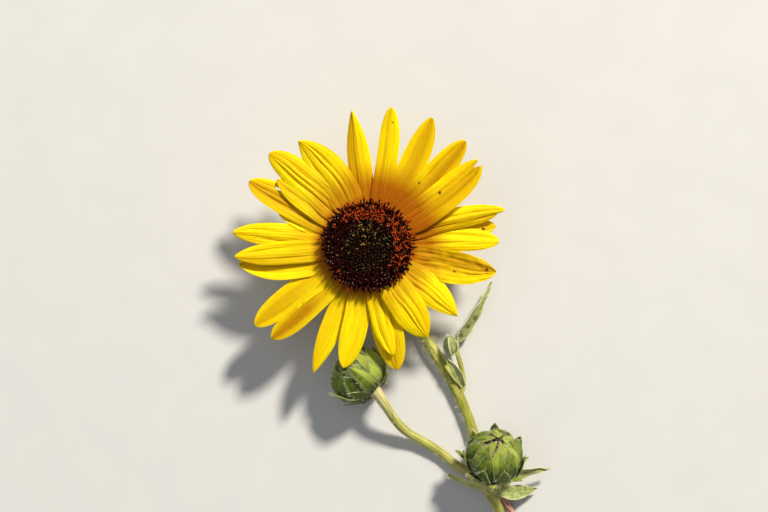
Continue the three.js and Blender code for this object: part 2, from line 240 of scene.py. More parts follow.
def new_finish(name, **constants):
    "A material and its shader, with what is the same all over the surface set on the shader."
    made = bpy.data.materials.new(name)
    made.use_nodes = True
    shader = made.node_tree.nodes["Principled BSDF"]
    for key, value in constants.items():
        shader.inputs[key.replace("_", " ")].default_value = value
    return made, shader


def painted(piece, material):
    piece.data.materials.clear()
    piece.data.materials.append(material)
    return piece


def scattered(name, models, places):
    """Many copies of small models as one mesh. A place is (point, turn as a matrix, size, model).
    Where a copy would reach through the table it is left off."""
    reach = max(vertex.co.z for model in models for vertex in model.data.vertices)
    places = [p for p in places if (p[0] + p[1] @ Vector((0, 0, reach * p[2]))).z > 0]
    points = bpy.data.meshes.new(name)
    points.from_pydata([tuple(p[0]) for p in places], [], [])
    for mark, sort in (("turn", "FLOAT_VECTOR"), ("size", "FLOAT"), ("kind", "INT")):
        points.attributes.new(mark, sort, "POINT")
    turns, sizes, kinds = (points.attributes[mark] for mark in ("turn", "size", "kind"))
    for i, (_, turn, size, kind) in enumerate(places):
        turns.data[i].vector = turn.to_euler()
        sizes.data[i].value = size
        kinds.data[i].value = kind
    piece = bpy.data.objects.new(name, points)
    bpy.context.scene.collection.objects.link(piece)
    pool = bpy.data.collections.new(name + "_models")
    for model in models:
        pool.objects.link(model)
    tree = bpy.data.node_groups.new(name, "GeometryNodeTree")
    tree.interface.new_socket("Geometry", in_out="INPUT", socket_type="NodeSocketGeometry")
    tree.interface.new_socket("Geometry", in_out="OUTPUT", socket_type="NodeSocketGeometry")
    new, link = tree.nodes.new, tree.links.new
    start, end, spread = new("NodeGroupInput"), new("NodeGroupOutput"), new("GeometryNodeInstanceOnPoints")
    stock, real = new("GeometryNodeCollectionInfo"), new("GeometryNodeRealizeInstances")
    stock.inputs["Collection"].default_value = pool
    stock.inputs["Separate Children"].default_value = True
    stock.inputs["Reset Children"].default_value = True
    spread.inputs["Pick Instance"].default_value = True
    for attribute, kind, socket in (
        ("turn", "FLOAT_VECTOR", "Rotation"), ("size", "FLOAT", "Scale"), ("kind", "INT", "Instance Index"),
    ):
        read = new("GeometryNodeInputNamedAttribute")
        read.data_type = kind
        read.inputs["Name"].default_value = attribute
        link(read.outputs["Attribute"], spread.inputs[socket])
    link(start.outputs[0], spread.inputs["Points"])
    link(stock.outputs[0], spread.inputs["Instance"])
    link(spread.outputs[0], real.inputs[0])
    link(real.outputs[0], end.inputs[0])
    applied(piece, "NODES", node_group=tree)
    for mark in ("turn", "size", "kind"):
        if mark in piece.data.attributes:
            piece.data.attributes.remove(piece.data.attributes[mark])
    for material in dict.fromkeys(m for model in models for m in model.data.materials):
        if material.name not in piece.data.materials:
            piece.data.materials.append(material)
    bpy.data.collections.remove(pool)
    for model in models:
        bpy.data.objects.remove(model)
    return piece


def kept(piece, slot, *nodes):
    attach(piece, "root")
    if nodes:
        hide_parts(*nodes)
    return piece


# Sunflower stem rind, living: matt yellow-green with paler ribs, streaked along its length.
rind, shader = new_finish("sunflower_stem_rind", Roughness=0.62, Specular_IOR_Level=0.25, Subsurface_Weight=0.08, Subsurface_Scale=0.0006)
grain = add_node(rind, "Attribute", {"attribute_name": "grain"})
streaks = add_node(rind, "TexNoise", inputs={"Vector": grain.outputs["Vector"], "Scale": 1.1, "Detail": 4.0})
tones = add_node(
    rind, "ValToRGB", {"stops": [(0.3, "#72731f"), (0.5, "#989934"), (0.7, "#c6c560")]}, {"Fac": streaks.outputs["Fac"]}
)
pale_tones = add_node(
    rind, "ValToRGB", {"stops": [(0.3, "#96974a"), (0.5, "#c0bd72"), (0.7, "#e2dda0")]}, {"Fac": streaks.outputs["Fac"]}
)
straw = add_node(rind, "Attribute", {"attribute_name": "straw"})
stalk_tones = add_node(
    rind, "Mix", {"data_type": "RGBA"},
    {"Factor": straw.outputs["Fac"], 6: tones.outputs["Color"], 7: pale_tones.outputs["Color"]},
)
blush = add_node(rind, "Attribute", {"attribute_name": "blush"})
rosy = add_node(
    rind, "Mix", {"data_type": "RGBA"}, {"Factor": blush.outputs["Fac"], 6: stalk_tones.outputs[2], 7: colour("#dccb9a")}
)
specks = add_node(rind, "TexNoise", inputs={"Vector": grain.outputs["Vector"], "Scale": 5.0, "Detail": 2.0})
speckled = add_node(rind, "MapRange", inputs={"Value": specks.outputs["Fac"], 1: 0.62, 2: 0.75, 3: 0.0, 4: 0.25})
skin_colour = add_node(
    rind, "Mix", {"data_type": "RGBA"},
    {"Factor": speckled.outputs[0], 6: rosy.outputs[2], 7: colour("#f1eecb")},
)
bumps = add_node(
    rind, "Bump", inputs={"Height": streaks.outputs["Fac"], "Strength": 0.35, "Distance": 0.0003}
)
rind.node_tree.links.new(skin_colour.outputs[2], shader.inputs["Base Color"])
rind.node_tree.links.new(bumps.outputs[0], shader.inputs["Normal"])

# Stem hairs: stiff, clear, hollow bristles up to 2.5 mm long, that catch the light as white lines.
bristle, shader = new_finish("clear_stem_bristle", Roughness=0.45, Subsurface_Weight=0.2, Subsurface_Scale=0.0004)
fade = add_node(bristle, "Attribute", {"attribute_name": "reach"})
pale = add_node(
    bristle, "ValToRGB", {"stops": [(0.0, "#cfd0a0"), (0.35, "#f3f1dc"), (1.0, "#ffffff")]}, {"Fac": fade.outputs["Fac"]}
)
bristle.node_tree.links.new(pale.outputs[0], shader.inputs["Base Color"])


def hair_model(length, thickness, curl, material=None, colour_by="reach"):
    """One hair: a three-sided spine extruded in three steps, each thinner and further over."""
    bpy.ops.object.select_all(action="DESELECT")
    bpy.ops.mesh.primitive_circle_add(vertices=3, radius=thickness * MM, fill_type="NGON", location=(0, 0, 0))
    hair = named("hair")
    bpy.ops.object.mode_set(mode="EDIT")
    bpy.ops.mesh.select_all(action="SELECT")
    top = Vector((0, 0, 0))
    for step in range(1, 4):
        rise = Vector((curl * (step / 3) ** 2, 0, 1)).normalized() * length * MM / 3
        top += rise
        bpy.ops.mesh.extrude_region_move(TRANSFORM_OT_translate={"value": rise})
        bpy.ops.transform.resize(value=(0.66, 0.66, 0.66), center_override=top)
    bpy.ops.object.mode_set(mode="OBJECT")
    marks = hair.data.attributes.new(colour_by, "FLOAT", "POINT")
    for vertex in hair.data.vertices:
        marks.data[vertex.index].value = vertex.co.z / (length * MM)
    closed(hair, 80)
    return painted(hair, material or bristle)


def turned_to(direction, spin):
    "The turn that stands a model's +z along a direction, spun round it."
    return Vector(direction).to_track_quat("Z", "Y").to_matrix() @ Matrix.Rotation(spin, 3, "Z")


def hair_places(piece, per_mm2, seed, sizes=(0.5, 1.0), tilt=0.45, lean=(0, 0, 0), where=None, kinds=1):
    "Places for hairs all over a surface, each standing near its normal."
    dice = random.Random(seed)
    mesh = piece.data
    mesh.calc_loop_triangles()
    places = []
    for triangle in mesh.loop_triangles:
        expected = triangle.area / MM**2 * per_mm2
        a, b, c = (mesh.vertices[i].co for i in triangle.vertices)
        for _ in range(int(expected + dice.random())):
            u, v = sorted((dice.random(), dice.random()))
            point = a * u + b * (v - u) + c * (1 - v)
            share = where(point, triangle.normal) if where else 1.0
            wander = Vector([dice.uniform(-tilt, tilt) for _ in range(3)])
            spin, size, kind = dice.uniform(0, math.tau), dice.uniform(*sizes), dice.randrange(kinds)
            if dice.random() < share:
                direction = (triangle.normal + wander + Vector(lean)).normalized()
                places.append((point - triangle.normal * 0.03 * MM, turned_to(direction, spin), size, kind))
    return places


def toned(piece, **shares):
    "Marks how far a stalk is straw-pale or flushed pink, from a share at each point."
    for name, share_at in shares.items():
        marks = piece.data.attributes.new(name, "FLOAT", "POINT")
        for vertex in piece.data.vertices:
            marks.data[vertex.index].value = share_at(vertex.co)


def stem_radius(t):
    flare = ramp(t, 0.84, 1) ** 1.3
    return blend(1.72, NODE_RADIUS, flare) + 0.12 * math.sin(17 * t)


stem, stem_line = stalk("main_stem_skin", STEM_ROUTE, stem_radius)
swellings = []
for x, y, z, radius in NODE_SWELLINGS:
    bpy.ops.object.select_all(action="DESELECT")
    bpy.ops.mesh.primitive_uv_sphere_add(segments=32, ring_count=20, radius=radius * MM, location=spot(x, y, z))
    bpy.ops.object.transform_apply(location=True, rotation=False, scale=False)
    swellings.append(named("swelling"))
only(stem)
for swelling in swellings:
    swelling.select_set(True)
bpy.ops.object.join()
applied(stem, "REMESH", mode="VOXEL", voxel_size=0.25 * MM)
applied(stem, "SMOOTH", factor=0.5, iterations=9)
closed(stem, 60)
painted(grained(stem, stem_line), rind)
toned(stem, straw=lambda p: 0.25)
kept(stem, "stem", "main_stem")


def flower_stalk_radius(t):
    thick = blend(blend(1.6, 2.05, ramp(t, 0, 0.5)), 2.5, ramp(t, 0.9, 1))
    return thick + 0.06 * math.sin(40 * t) + 0.5 * ramp(t, 0.955, 1) ** 2


def rear_stalk_radius(t):
    return blend(1.5, 1.62, t) + 1.1 * ramp(t, 0.82, 1) ** 2 + 0.05 * math.sin(31 * t)


rear_bud_middle, node_middle = spot(-3.2, -43.8, 11.1), spot(42.2, -83.4, 4)
straw_shares = {"flower_stalk": 0.15, "rear_bud_stalk": 0.45, "front_bud_stalk": 0.1, "leaf_stalk": 0.35}
stalks = {
    "flower_stalk": (FLOWER_STALK_ROUTE, flower_stalk_radius),
    "rear_bud_stalk": (REAR_STALK_ROUTE, rear_stalk_radius),
    "front_bud_stalk": (FRONT_STALK_ROUTE, lambda t: blend(3.0, 4.25, t)),
    "leaf_stalk": (LEAF_STALK_ROUTE, lambda t: blend(1.15, 0.85, ramp(t, 0, 0.3)) + 0.12 * ramp(t, 0.8, 1)),
}
flower_stalk_dense = spot(19, -31, 2)
for order, (node_name, (route, radius_at)) in enumerate(stalks.items()):
    skin, line = stalk(node_name + "_skin", route, radius_at)
    painted(grained(skin, line), rind)

    def straw_at(p):
        away = (p - node_middle).length / MM
        return blend(0.25, straw_shares[node_name] + 0.25 * noise.noise(p / (6 * MM)), ramp(away, 4, 12))

    def blush_at(p):
        from_bud, from_node = (p - rear_bud_middle).length / MM, (p - node_middle).length / MM
        near_bud, near_node = 0.6 * (1 - ramp(from_bud, 9, 18)), 0.3 * ramp(from_node, 4, 9) * (1 - ramp(from_node, 9, 20))
        return max(near_bud, near_node) * (node_name in ("rear_bud_stalk", "flower_stalk"))

    toned(skin, straw=straw_at, blush=blush_at)
    kept(skin, "stem", node_name)

hair_sources = [
    ("main_stem_hairs", "main_stem_skin", 1.1, (0.35, 0.8)),
    ("flower_stalk_hairs", "flower_stalk_skin", 1.1, (0.35, 0.85)),
    ("rear_bud_stalk_hairs", "rear_bud_stalk_skin", 1.1, (0.3, 0.75)),
    ("front_bud_stalk_hairs", "front_bud_stalk_skin", 1.0, (0.35, 0.7)),
    ("leaf_stalk_hairs", "leaf_stalk_skin", 1.6, (0.2, 0.4)),
]
for order, (name, skin_name, per_mm2, sizes) in enumerate(hair_sources):
    places = hair_places(bpy.data.objects[skin_name], per_mm2, 100 + order, sizes, kinds=2)
    if name == "flower_stalk_hairs":
        thicket = lambda p, n: 1 - ramp((p - flower_stalk_dense).length / MM, 4, 13)
        places += hair_places(bpy.data.objects[skin_name], 1.6, 140, (0.7, 1.15), where=thicket, kinds=2)
    kept(scattered(name, [hair_model(2.2, 0.065, 0.5), hair_model(2.0, 0.06, -0.2)], places), "stem")

# The dead stalk beside the main stem: a withered stalk, shrunk to pinkish-brown fibres.
dry_fibre, shader = new_finish("withered_stalk_fibre", Roughness=0.9)
grain = add_node(dry_fibre, "Attribute", {"attribute_name": "grain"})
fibres = add_node(dry_fibre, "TexNoise", inputs={"Vector": grain.outputs["Vector"], "Scale": 2.2, "Detail": 6.0})
fibre_tones = add_node(
    dry_fibre, "ValToRGB", {"stops": [(0.3, "#7d4c38"), (0.5, "#b58069"), (0.7, "#e0bca6")]},
    {"Fac": fibres.outputs["Fac"]},
)
fibre_relief = add_node(dry_fibre, "Bump", inputs={"Height": fibres.outputs["Fac"], "Strength": 0.8, "Distance": 0.0005})
dry_fibre.node_tree.links.new(fibre_tones.outputs[0], shader.inputs["Base Color"])
dry_fibre.node_tree.links.new(fibre_relief.outputs[0], shader.inputs["Normal"])

DRY_ROUTE = [(44, -84.6, 3.2), (47.3, -88, 2.8), (49.6, -92.6, 1.9), (51.6, -98, 1.2)]
withered, withered_line = stalk(
    "dry_stalk_skin", DRY_ROUTE, lambda t: blend(1.25, 0.85, t) * (1 + 0.16 * math.sin(19 * t) * math.sin(7 * t))
)
for vertex in withered.data.vertices:  # shrunk in along its fibres
    vertex.co += noise.noise_vector(vertex.co / (0.9 * MM)) * 0.16 * MM
kept(painted(grained(withered, withered_line, 5.0), dry_fibre), "dry_stalk", "dry_stalk")


# The small leaves: thin, folded along the midrib, rough with short grey hairs, their margins paler.
# The narrow leaf is curled and carries three round blotches. All are cut from one kind of blade.
def leaf_half_width(width, broadest):
    def half(t):
        rise = blend(0.45, 1, math.sin(math.pi / 2 * ramp(t, 0, broadest)))
        return max(0.05, width / 2 * rise * (1 - ramp(t, broadest, 1) ** 1.5))
    return half


def blade(name, line, half_width, shape, columns, rows, roll=0.0, sideways=None, to_tip=1.4):
    """A thin blade along a line. half_width is in mm from 0, the root, to 1, the tip; shape(t, s) gives
    how far, in mm, the blade stands off its line along it, across it and along its face. The blade faces
    up, unless the direction sideways is given; roll turns it about its line, in degrees."""
    bpy.ops.object.select_all(action="DESELECT")
    bpy.ops.mesh.primitive_grid_add(x_subdivisions=rows, y_subdivisions=columns, size=1, location=(0, 0, 0))
    sheet = named(name)
    last = len(line) - 1
    for vertex in sheet.data.vertices:
        t = 1 - max(0.0, 0.5 - vertex.co.x) ** to_tip
        s = vertex.co.y * 2
        near = min(int(t * last), last - 1)
        centre = line[near].lerp(line[near + 1], t * last - near)
        forward = (line[min(near + 2, last)] - line[max(near - 1, 0)]).normalized()
        side = sideways or Vector((0, 0, 1)).cross(forward).normalized()
        face = forward.cross(side)
        turn = math.radians(roll(t) if callable(roll) else roll)
        side, face = side * math.cos(turn) + face * math.sin(turn), face * math.cos(turn) - side * math.sin(turn)
        along, across, off = shape(t, s)
        vertex.co = centre + (side * (half_width(t) * s + across) + face * off + forward * along) * MM
    return sheet


def thickened(sheet, thickness):
    applied(sheet, "SOLIDIFY", thickness=thickness * MM, offset=0.0)
    only(sheet)
    bpy.ops.object.shade_smooth_by_angle(angle=math.radians(60))
    return sheet


def marked(piece, name, value_at):
    "Writes a value at each point of a blade, read from its place on the blade: (t, s)."
    values = {}
    for loop, place in zip(piece.data.loops, piece.data.uv_layers.active.data):
        values[loop.vertex_index] = value_at(place.uv.x, place.uv.y * 2 - 1)
    marks = piece.data.attributes.new(name, "FLOAT", "POINT")
    for index, value in values.items():
        marks.data[index].value = value


leaf_skin, shader = new_finish("rough_grey_green_leaf", Roughness=0.75, Specular_IOR_Level=0.2, Subsurface_Weight=0.1, Subsurface_Scale=0.0005)
place = add_node(leaf_skin, "UVMap")
halves = add_node(leaf_skin, "SeparateXYZ", inputs={"Vector": place.outputs["UV"]})
from_rib = add_node(leaf_skin, "MapRange", inputs={"Value": halves.outputs["Y"], 1: 0.0, 2: 1.0, 3: -1.0, 4: 1.0})
outward = add_node(leaf_skin, "Math", {"operation": "ABSOLUTE"}, {0: from_rib.outputs[0]})
tissue = add_node(leaf_skin, "TexCoord")
mottle = add_node(leaf_skin, "TexNoise", inputs={"Vector": tissue.outputs["Object"], "Scale": 900.0, "Detail": 4.0})
greens = add_node(
    leaf_skin, "ValToRGB", {"stops": [(0.32, "#6a7838"), (0.52, "#8b9757"), (0.7, "#aab37c")]}, {"Fac": mottle.outputs["Fac"]}
)
light = add_node(leaf_skin, "Attribute", {"attribute_name": "pale"})
lightened = add_node(
    leaf_skin, "Mix", {"data_type": "RGBA"}, {"Factor": light.outputs["Fac"], 6: greens.outputs["Color"], 7: colour("#c3c57c")}
)
rims = add_node(
    leaf_skin, "ValToRGB", {"stops": [(0.0, 0.4), (0.07, 0.05), (0.8, 0.0), (0.97, 0.7)]}, {"Fac": outward.outputs[0]}
)
edged = add_node(
    leaf_skin, "Mix", {"data_type": "RGBA"}, {"Factor": rims.outputs["Color"], 6: lightened.outputs[2], 7: colour("#dedfb4")}
)
blotch = add_node(leaf_skin, "Attribute", {"attribute_name": "blotch"})
blotched = add_node(
    leaf_skin, "Mix", {"data_type": "RGBA"}, {"Factor": blotch.outputs["Fac"], 6: edged.outputs[2], 7: colour("#33291a")}
)
leaf_relief = add_node(leaf_skin, "Bump", inputs={"Height": mottle.outputs["Fac"], "Strength": 0.5, "Distance": 0.0003})
leaf_skin.node_tree.links.new(blotched.outputs[2], shader.inputs["Base Color"])
leaf_skin.node_tree.links.new(leaf_relief.outputs[0], shader.inputs["Normal"])


def folded(fold, wave=0.0, waves=3.0):
    "A leaf's shape: its halves raised by fold, in mm at the margin, and its margin waved."
    def shape(t, s):
        lift = fold * abs(s) ** 1.3 * (1 - 0.5 * t) - 0.12 * math.exp(-(s / 0.12) ** 2)
        return 0, 0, lift + wave * abs(s) ** 2 * math.sin(waves * math.tau * t + 2 * s)
    return shape


LEAVES = {
    "narrow_leaf": dict(
        route=[(30.1, -32, 5.2), (33, -27.6, 6.2), (35.7, -23.5, 6.8), (38.4, -18.7, 6.8), (41.9, -12.2, 5.2)],
        width=5.6, roll=50, broadest=0.25, fold=1.3, wave=0.25, pale=0.15,
        blotches=[(0.09, -0.2, 0.8), (0.26, -0.3, 0.7), (0.42, -0.5, 0.85)],
    ),
    "axil_leaf": dict(
        route=[(32.7, -47.6, 4.3), (29.6, -42.3, 6.4), (26.5, -37.8, 6.6)], width=3.8, roll=-25, broadest=0.45,
        fold=0.7, wave=0.15, pale=0.3, blotches=[],
    ),
    "node_leaf_upper": dict(
        route=[(43.9, -82.6, 5), (47.6, -79.4, 6.8), (51.6, -77.5, 7.6), (56.4, -76.4, 7), (62, -76, 5.2)],
        width=4.6, roll=42, broadest=0.5, fold=0.9, wave=0.25, pale=0.45, blotches=[],
    ),
    "node_leaf_lower": dict(
        route=[(43.2, -83.7, 4.4), (49.2, -84.6, 4.4), (53, -84.1, 3.6), (58, -83.3, 2.4)],
        width=5.2, roll=-20, broadest=0.5, fold=1.1, wave=0.2, pale=0.05, blotches=[],
    ),
    "node_leaf_left": dict(
        route=[
            (41, -83.2, 5), (37.4, -81.7, 6.6), (33.7, -80.7, 7.4), (30.1, -79.2, 7), (27.4, -77.8, 7.8), (27, -78.6, 9.4), (28.3, -79.6, 9.6),
        ],
        width=2.6, roll=-25, broadest=0.35, fold=0.4, wave=0.12, pale=1.0, blotches=[],
    ),
}
LEAF_THICKNESS = 0.24
for order, (node_name, leaf) in enumerate(LEAVES.items()):
    line = grown_line(leaf["route"], 0.4)
    blade_length = sum((b - a).length for a, b in zip(line, line[1:])) / MM
    piece = blade(
        node_name + "_blade", line, leaf_half_width(leaf["width"], leaf["broadest"]), folded(leaf["fold"], leaf["wave"]),
        columns=16, rows=round(blade_length / 0.32), roll=leaf["roll"],
    )

    def blotch_at(u, s):
        t, most = 1 - max(0.0, 1 - u) ** 1.4, 0.0
        for at, side, radius in leaf["blotches"]:
            away = math.hypot((t - at) * blade_length, (s - side) * leaf["width"] / 2)
            ring = 1 - min(1.0, abs(away - radius * 0.75) / (radius * 0.5))
            most = max(most, ring, 0.45 * (away < radius * 0.6))
        return most

    marked(piece, "blotch", blotch_at)
    marked(piece, "pale", lambda u, s: leaf["pale"] * ramp(1 - u, 0, 0.2))
    thickened(piece, LEAF_THICKNESS)
    painted(piece, leaf_skin)
    kept(piece, "leaf", node_name)
    fuzz = hair_places(piece, 1.5, 200 + order, (0.4, 1.0), 0.5)
    kept(scattered(node_name + "_hairs", [hair_model(0.6, 0.03, 0.4)], fuzz), "leaf")


# The buds: a round head of closed florets, clad in rows of green bracts. Each bract is a small leaf
# with a drawn-out tip and a fringe of white hairs, and those nearest the middle still close over it.
bract_skin, shader = new_finish("bract_green_leaf", Roughness=0.68, Specular_IOR_Level=0.2, Subsurface_Weight=0.1, Subsurface_Scale=0.0005)
place = add_node(bract_skin, "UVMap")
halves = add_node(bract_skin, "SeparateXYZ", inputs={"Vector": place.outputs["UV"]})
from_rib = add_node(bract_skin, "MapRange", inputs={"Value": halves.outputs["Y"], 1: 0.0, 2: 1.0, 3: -1.0, 4: 1.0})
outward = add_node(bract_skin, "Math", {"operation": "ABSOLUTE"}, {0: from_rib.outputs[0]})
tissue = add_node(bract_skin, "TexCoord")
mottle = add_node(bract_skin, "TexNoise", inputs={"Vector": tissue.outputs["Object"], "Scale": 700.0, "Detail": 4.0})
greens = add_node(
    bract_skin, "ValToRGB", {"stops": [(0.3, "#22340c"), (0.5, "#3a5213"), (0.7, "#5c751d")]}, {"Fac": mottle.outputs["Fac"]}
)
patches = add_node(bract_skin, "TexNoise", inputs={"Vector": tissue.outputs["Object"], "Scale": 170.0, "Detail": 2.0})
sunned = add_node(bract_skin, "MapRange", inputs={"Value": patches.outputs["Fac"], 1: 0.42, 2: 0.68, 3: 0.0, 4: 0.4})
# Partly the paler green of young bracts, partly painted light: the lit middle of the front bud and a lit bract edge on
# the rear bud get it too.
young = add_node(bract_skin, "Attribute", {"attribute_name": "young"})
fresh_and_lit_share = add_node(bract_skin, "Math", {"operation": "ADD", "use_clamp": True}, {0: sunned.outputs[0], 1: young.outputs["Fac"]})
yellowed = add_node(
    bract_skin, "Mix", {"data_type": "RGBA"}, {"Factor": fresh_and_lit_share.outputs[0], 6: greens.outputs["Color"], 7: colour("#98a640")}
)
rims = add_node(
    bract_skin, "ValToRGB", {"stops": [(0.0, 0.12), (0.12, 0.0), (0.8, 0.0), (1.0, 0.45)]}, {"Fac": outward.outputs[0]}
)
edged = add_node(
    bract_skin, "Mix", {"data_type": "RGBA"}, {"Factor": rims.outputs["Color"], 6: yellowed.outputs[2], 7: colour("#a6b555")}
)
tipped = add_node(
    bract_skin, "ValToRGB", {"stops": [(0.0, 0.0), (0.82, 0.0), (1.0, 0.8)]}, {"Fac": halves.outputs["X"]}
)
# Painted shade: each bract darkens towards its foot, where it lies under the row above.
foot_shade = add_node(
    bract_skin, "ValToRGB", {"stops": [(0.0, 0.9), (0.3, 0.45), (0.6, 0.0)]}, {"Fac": halves.outputs["X"]}
)
shaded = add_node(
    bract_skin, "Mix", {"data_type": "RGBA"}, {"Factor": foot_shade.outputs["Color"], 6: edged.outputs[2], 7: colour("#26370f")}
)
ended = add_node(
    bract_skin, "Mix", {"data_type": "RGBA"}, {"Factor": tipped.outputs["Color"], 6: shaded.outputs[2], 7: colour("#a89a64")}
)
bract_relief = add_node(bract_skin, "Bump", inputs={"Height": mottle.outputs["Fac"], "Strength": 0.4, "Distance": 0.0003})
bract_skin.node_tree.links.new(ended.outputs[2], shader.inputs["Base Color"])
bract_skin.node_tree.links.new(bract_relief.outputs[0], shader.inputs["Normal"])

# The middle of a bud, where the young florets' brown-purple tips just show.
bud_heart, shader = new_finish("brown_purple_bud_florets", Roughness=0.7)
tissue = add_node(bud_heart, "TexCoord")
grains = add_node(bud_heart, "TexVoronoi", inputs={"Vector": tissue.outputs["Object"], "Scale": 1400.0})
dark_tones = add_node(
    bud_heart, "ValToRGB", {"stops": [(0.0, "#8a5a48"), (0.35, "#5a2f2a"), (0.8, "#2c1714")]}, {"Fac": grains.outputs["Distance"]}
)
heart_relief = add_node(
    bud_heart, "Bump", {"invert": True}, {"Height": grains.outputs["Distance"], "Strength": 0.9, "Distance": 0.0004}
)
bud_heart.node_tree.links.new(dark_tones.outputs[0], shader.inputs["Base Color"])
bud_heart.node_tree.links.new(heart_relief.outputs[0], shader.inputs["Normal"])

# The green flesh under the bracts: a bud's round core and the flower's receptacle.
core_skin, shader = new_finish("green_receptacle_flesh", Roughness=0.7, Specular_IOR_Level=0.2)
tissue = add_node(core_skin, "TexCoord")
mottle = add_node(core_skin, "TexNoise", inputs={"Vector": tissue.outputs["Object"], "Scale": 600.0, "Detail": 4.0})
greens = add_node(
    core_skin, "ValToRGB", {"stops": [(0.32, "#33481b"), (0.52, "#4d6527"), (0.72, "#6f8639")]}, {"Fac": mottle.outputs["Fac"]}
)
flesh_relief = add_node(core_skin, "Bump", inputs={"Height": mottle.outputs["Fac"], "Strength": 0.5, "Distance": 0.0004})
core_skin.node_tree.links.new(greens.outputs[0], shader.inputs["Base Color"])
core_skin.node_tree.links.new(flesh_relief.outputs[0], shader.inputs["Normal"])


def joined(name, pieces):
    bpy.ops.object.select_all(action="DESELECT")
    for piece in pieces:
        piece.select_set(True)
    bpy.context.view_layer.objects.active = pieces[0]
    if len(pieces) > 1:
        bpy.ops.object.join()
    return named(name)


def margin_hairs(sheet, seed, every=0.4, sizes=(0.5, 1.0)):
    "Places for the fringe of hairs along a blade's two margins, before it is thickened."
    sheet.data.update()
    dice, places, rims = random.Random(seed), [], {1: {}, -1: {}}
    for loop, mark in zip(sheet.data.loops, sheet.data.uv_layers.active.data):
        side = 1 if mark.uv.y > 0.999 else -1 if mark.uv.y < 0.001 else 0
        if side:
            rims[side][loop.vertex_index] = mark.uv.x
    for side, found in rims.items():
        order = [sheet.data.vertices[i] for i in sorted(found, key=found.get)]
        for a, b in zip(order, order[1:]):
            along = (b.co - a.co).normalized()
            outward = a.normal.cross(along) * side
            for _ in range(int((b.co - a.co).length / MM / every + dice.random())):
                direction = outward + a.normal * dice.uniform(0, 0.5) + along * dice.uniform(0.2, 0.9)
                turn = turned_to(direction, dice.uniform(0, 6.3))
                places.append((a.co.lerp(b.co, dice.random()), turn, dice.uniform(*sizes), 0))
    return places


def bract_half_width(width, foot=0.6, drawn=0.82):
    "An egg-shaped bract: its foot is a share of its width, and from drawn on it is a fine point."
    def half(t):
        rise = blend(foot, 1, math.sin(math.pi / 2 * ramp(t, 0, 0.35)))
        fall = 1 - ramp(t, 0.35, drawn) ** 1.6 * 0.82
        return max(0.06, width / 2 * rise * fall * (1 - 0.85 * ramp(t, drawn - 0.07, 1)))
    return half


PRESSED_FLAT = 0.6 * MM  # below this height the table flattens a bract


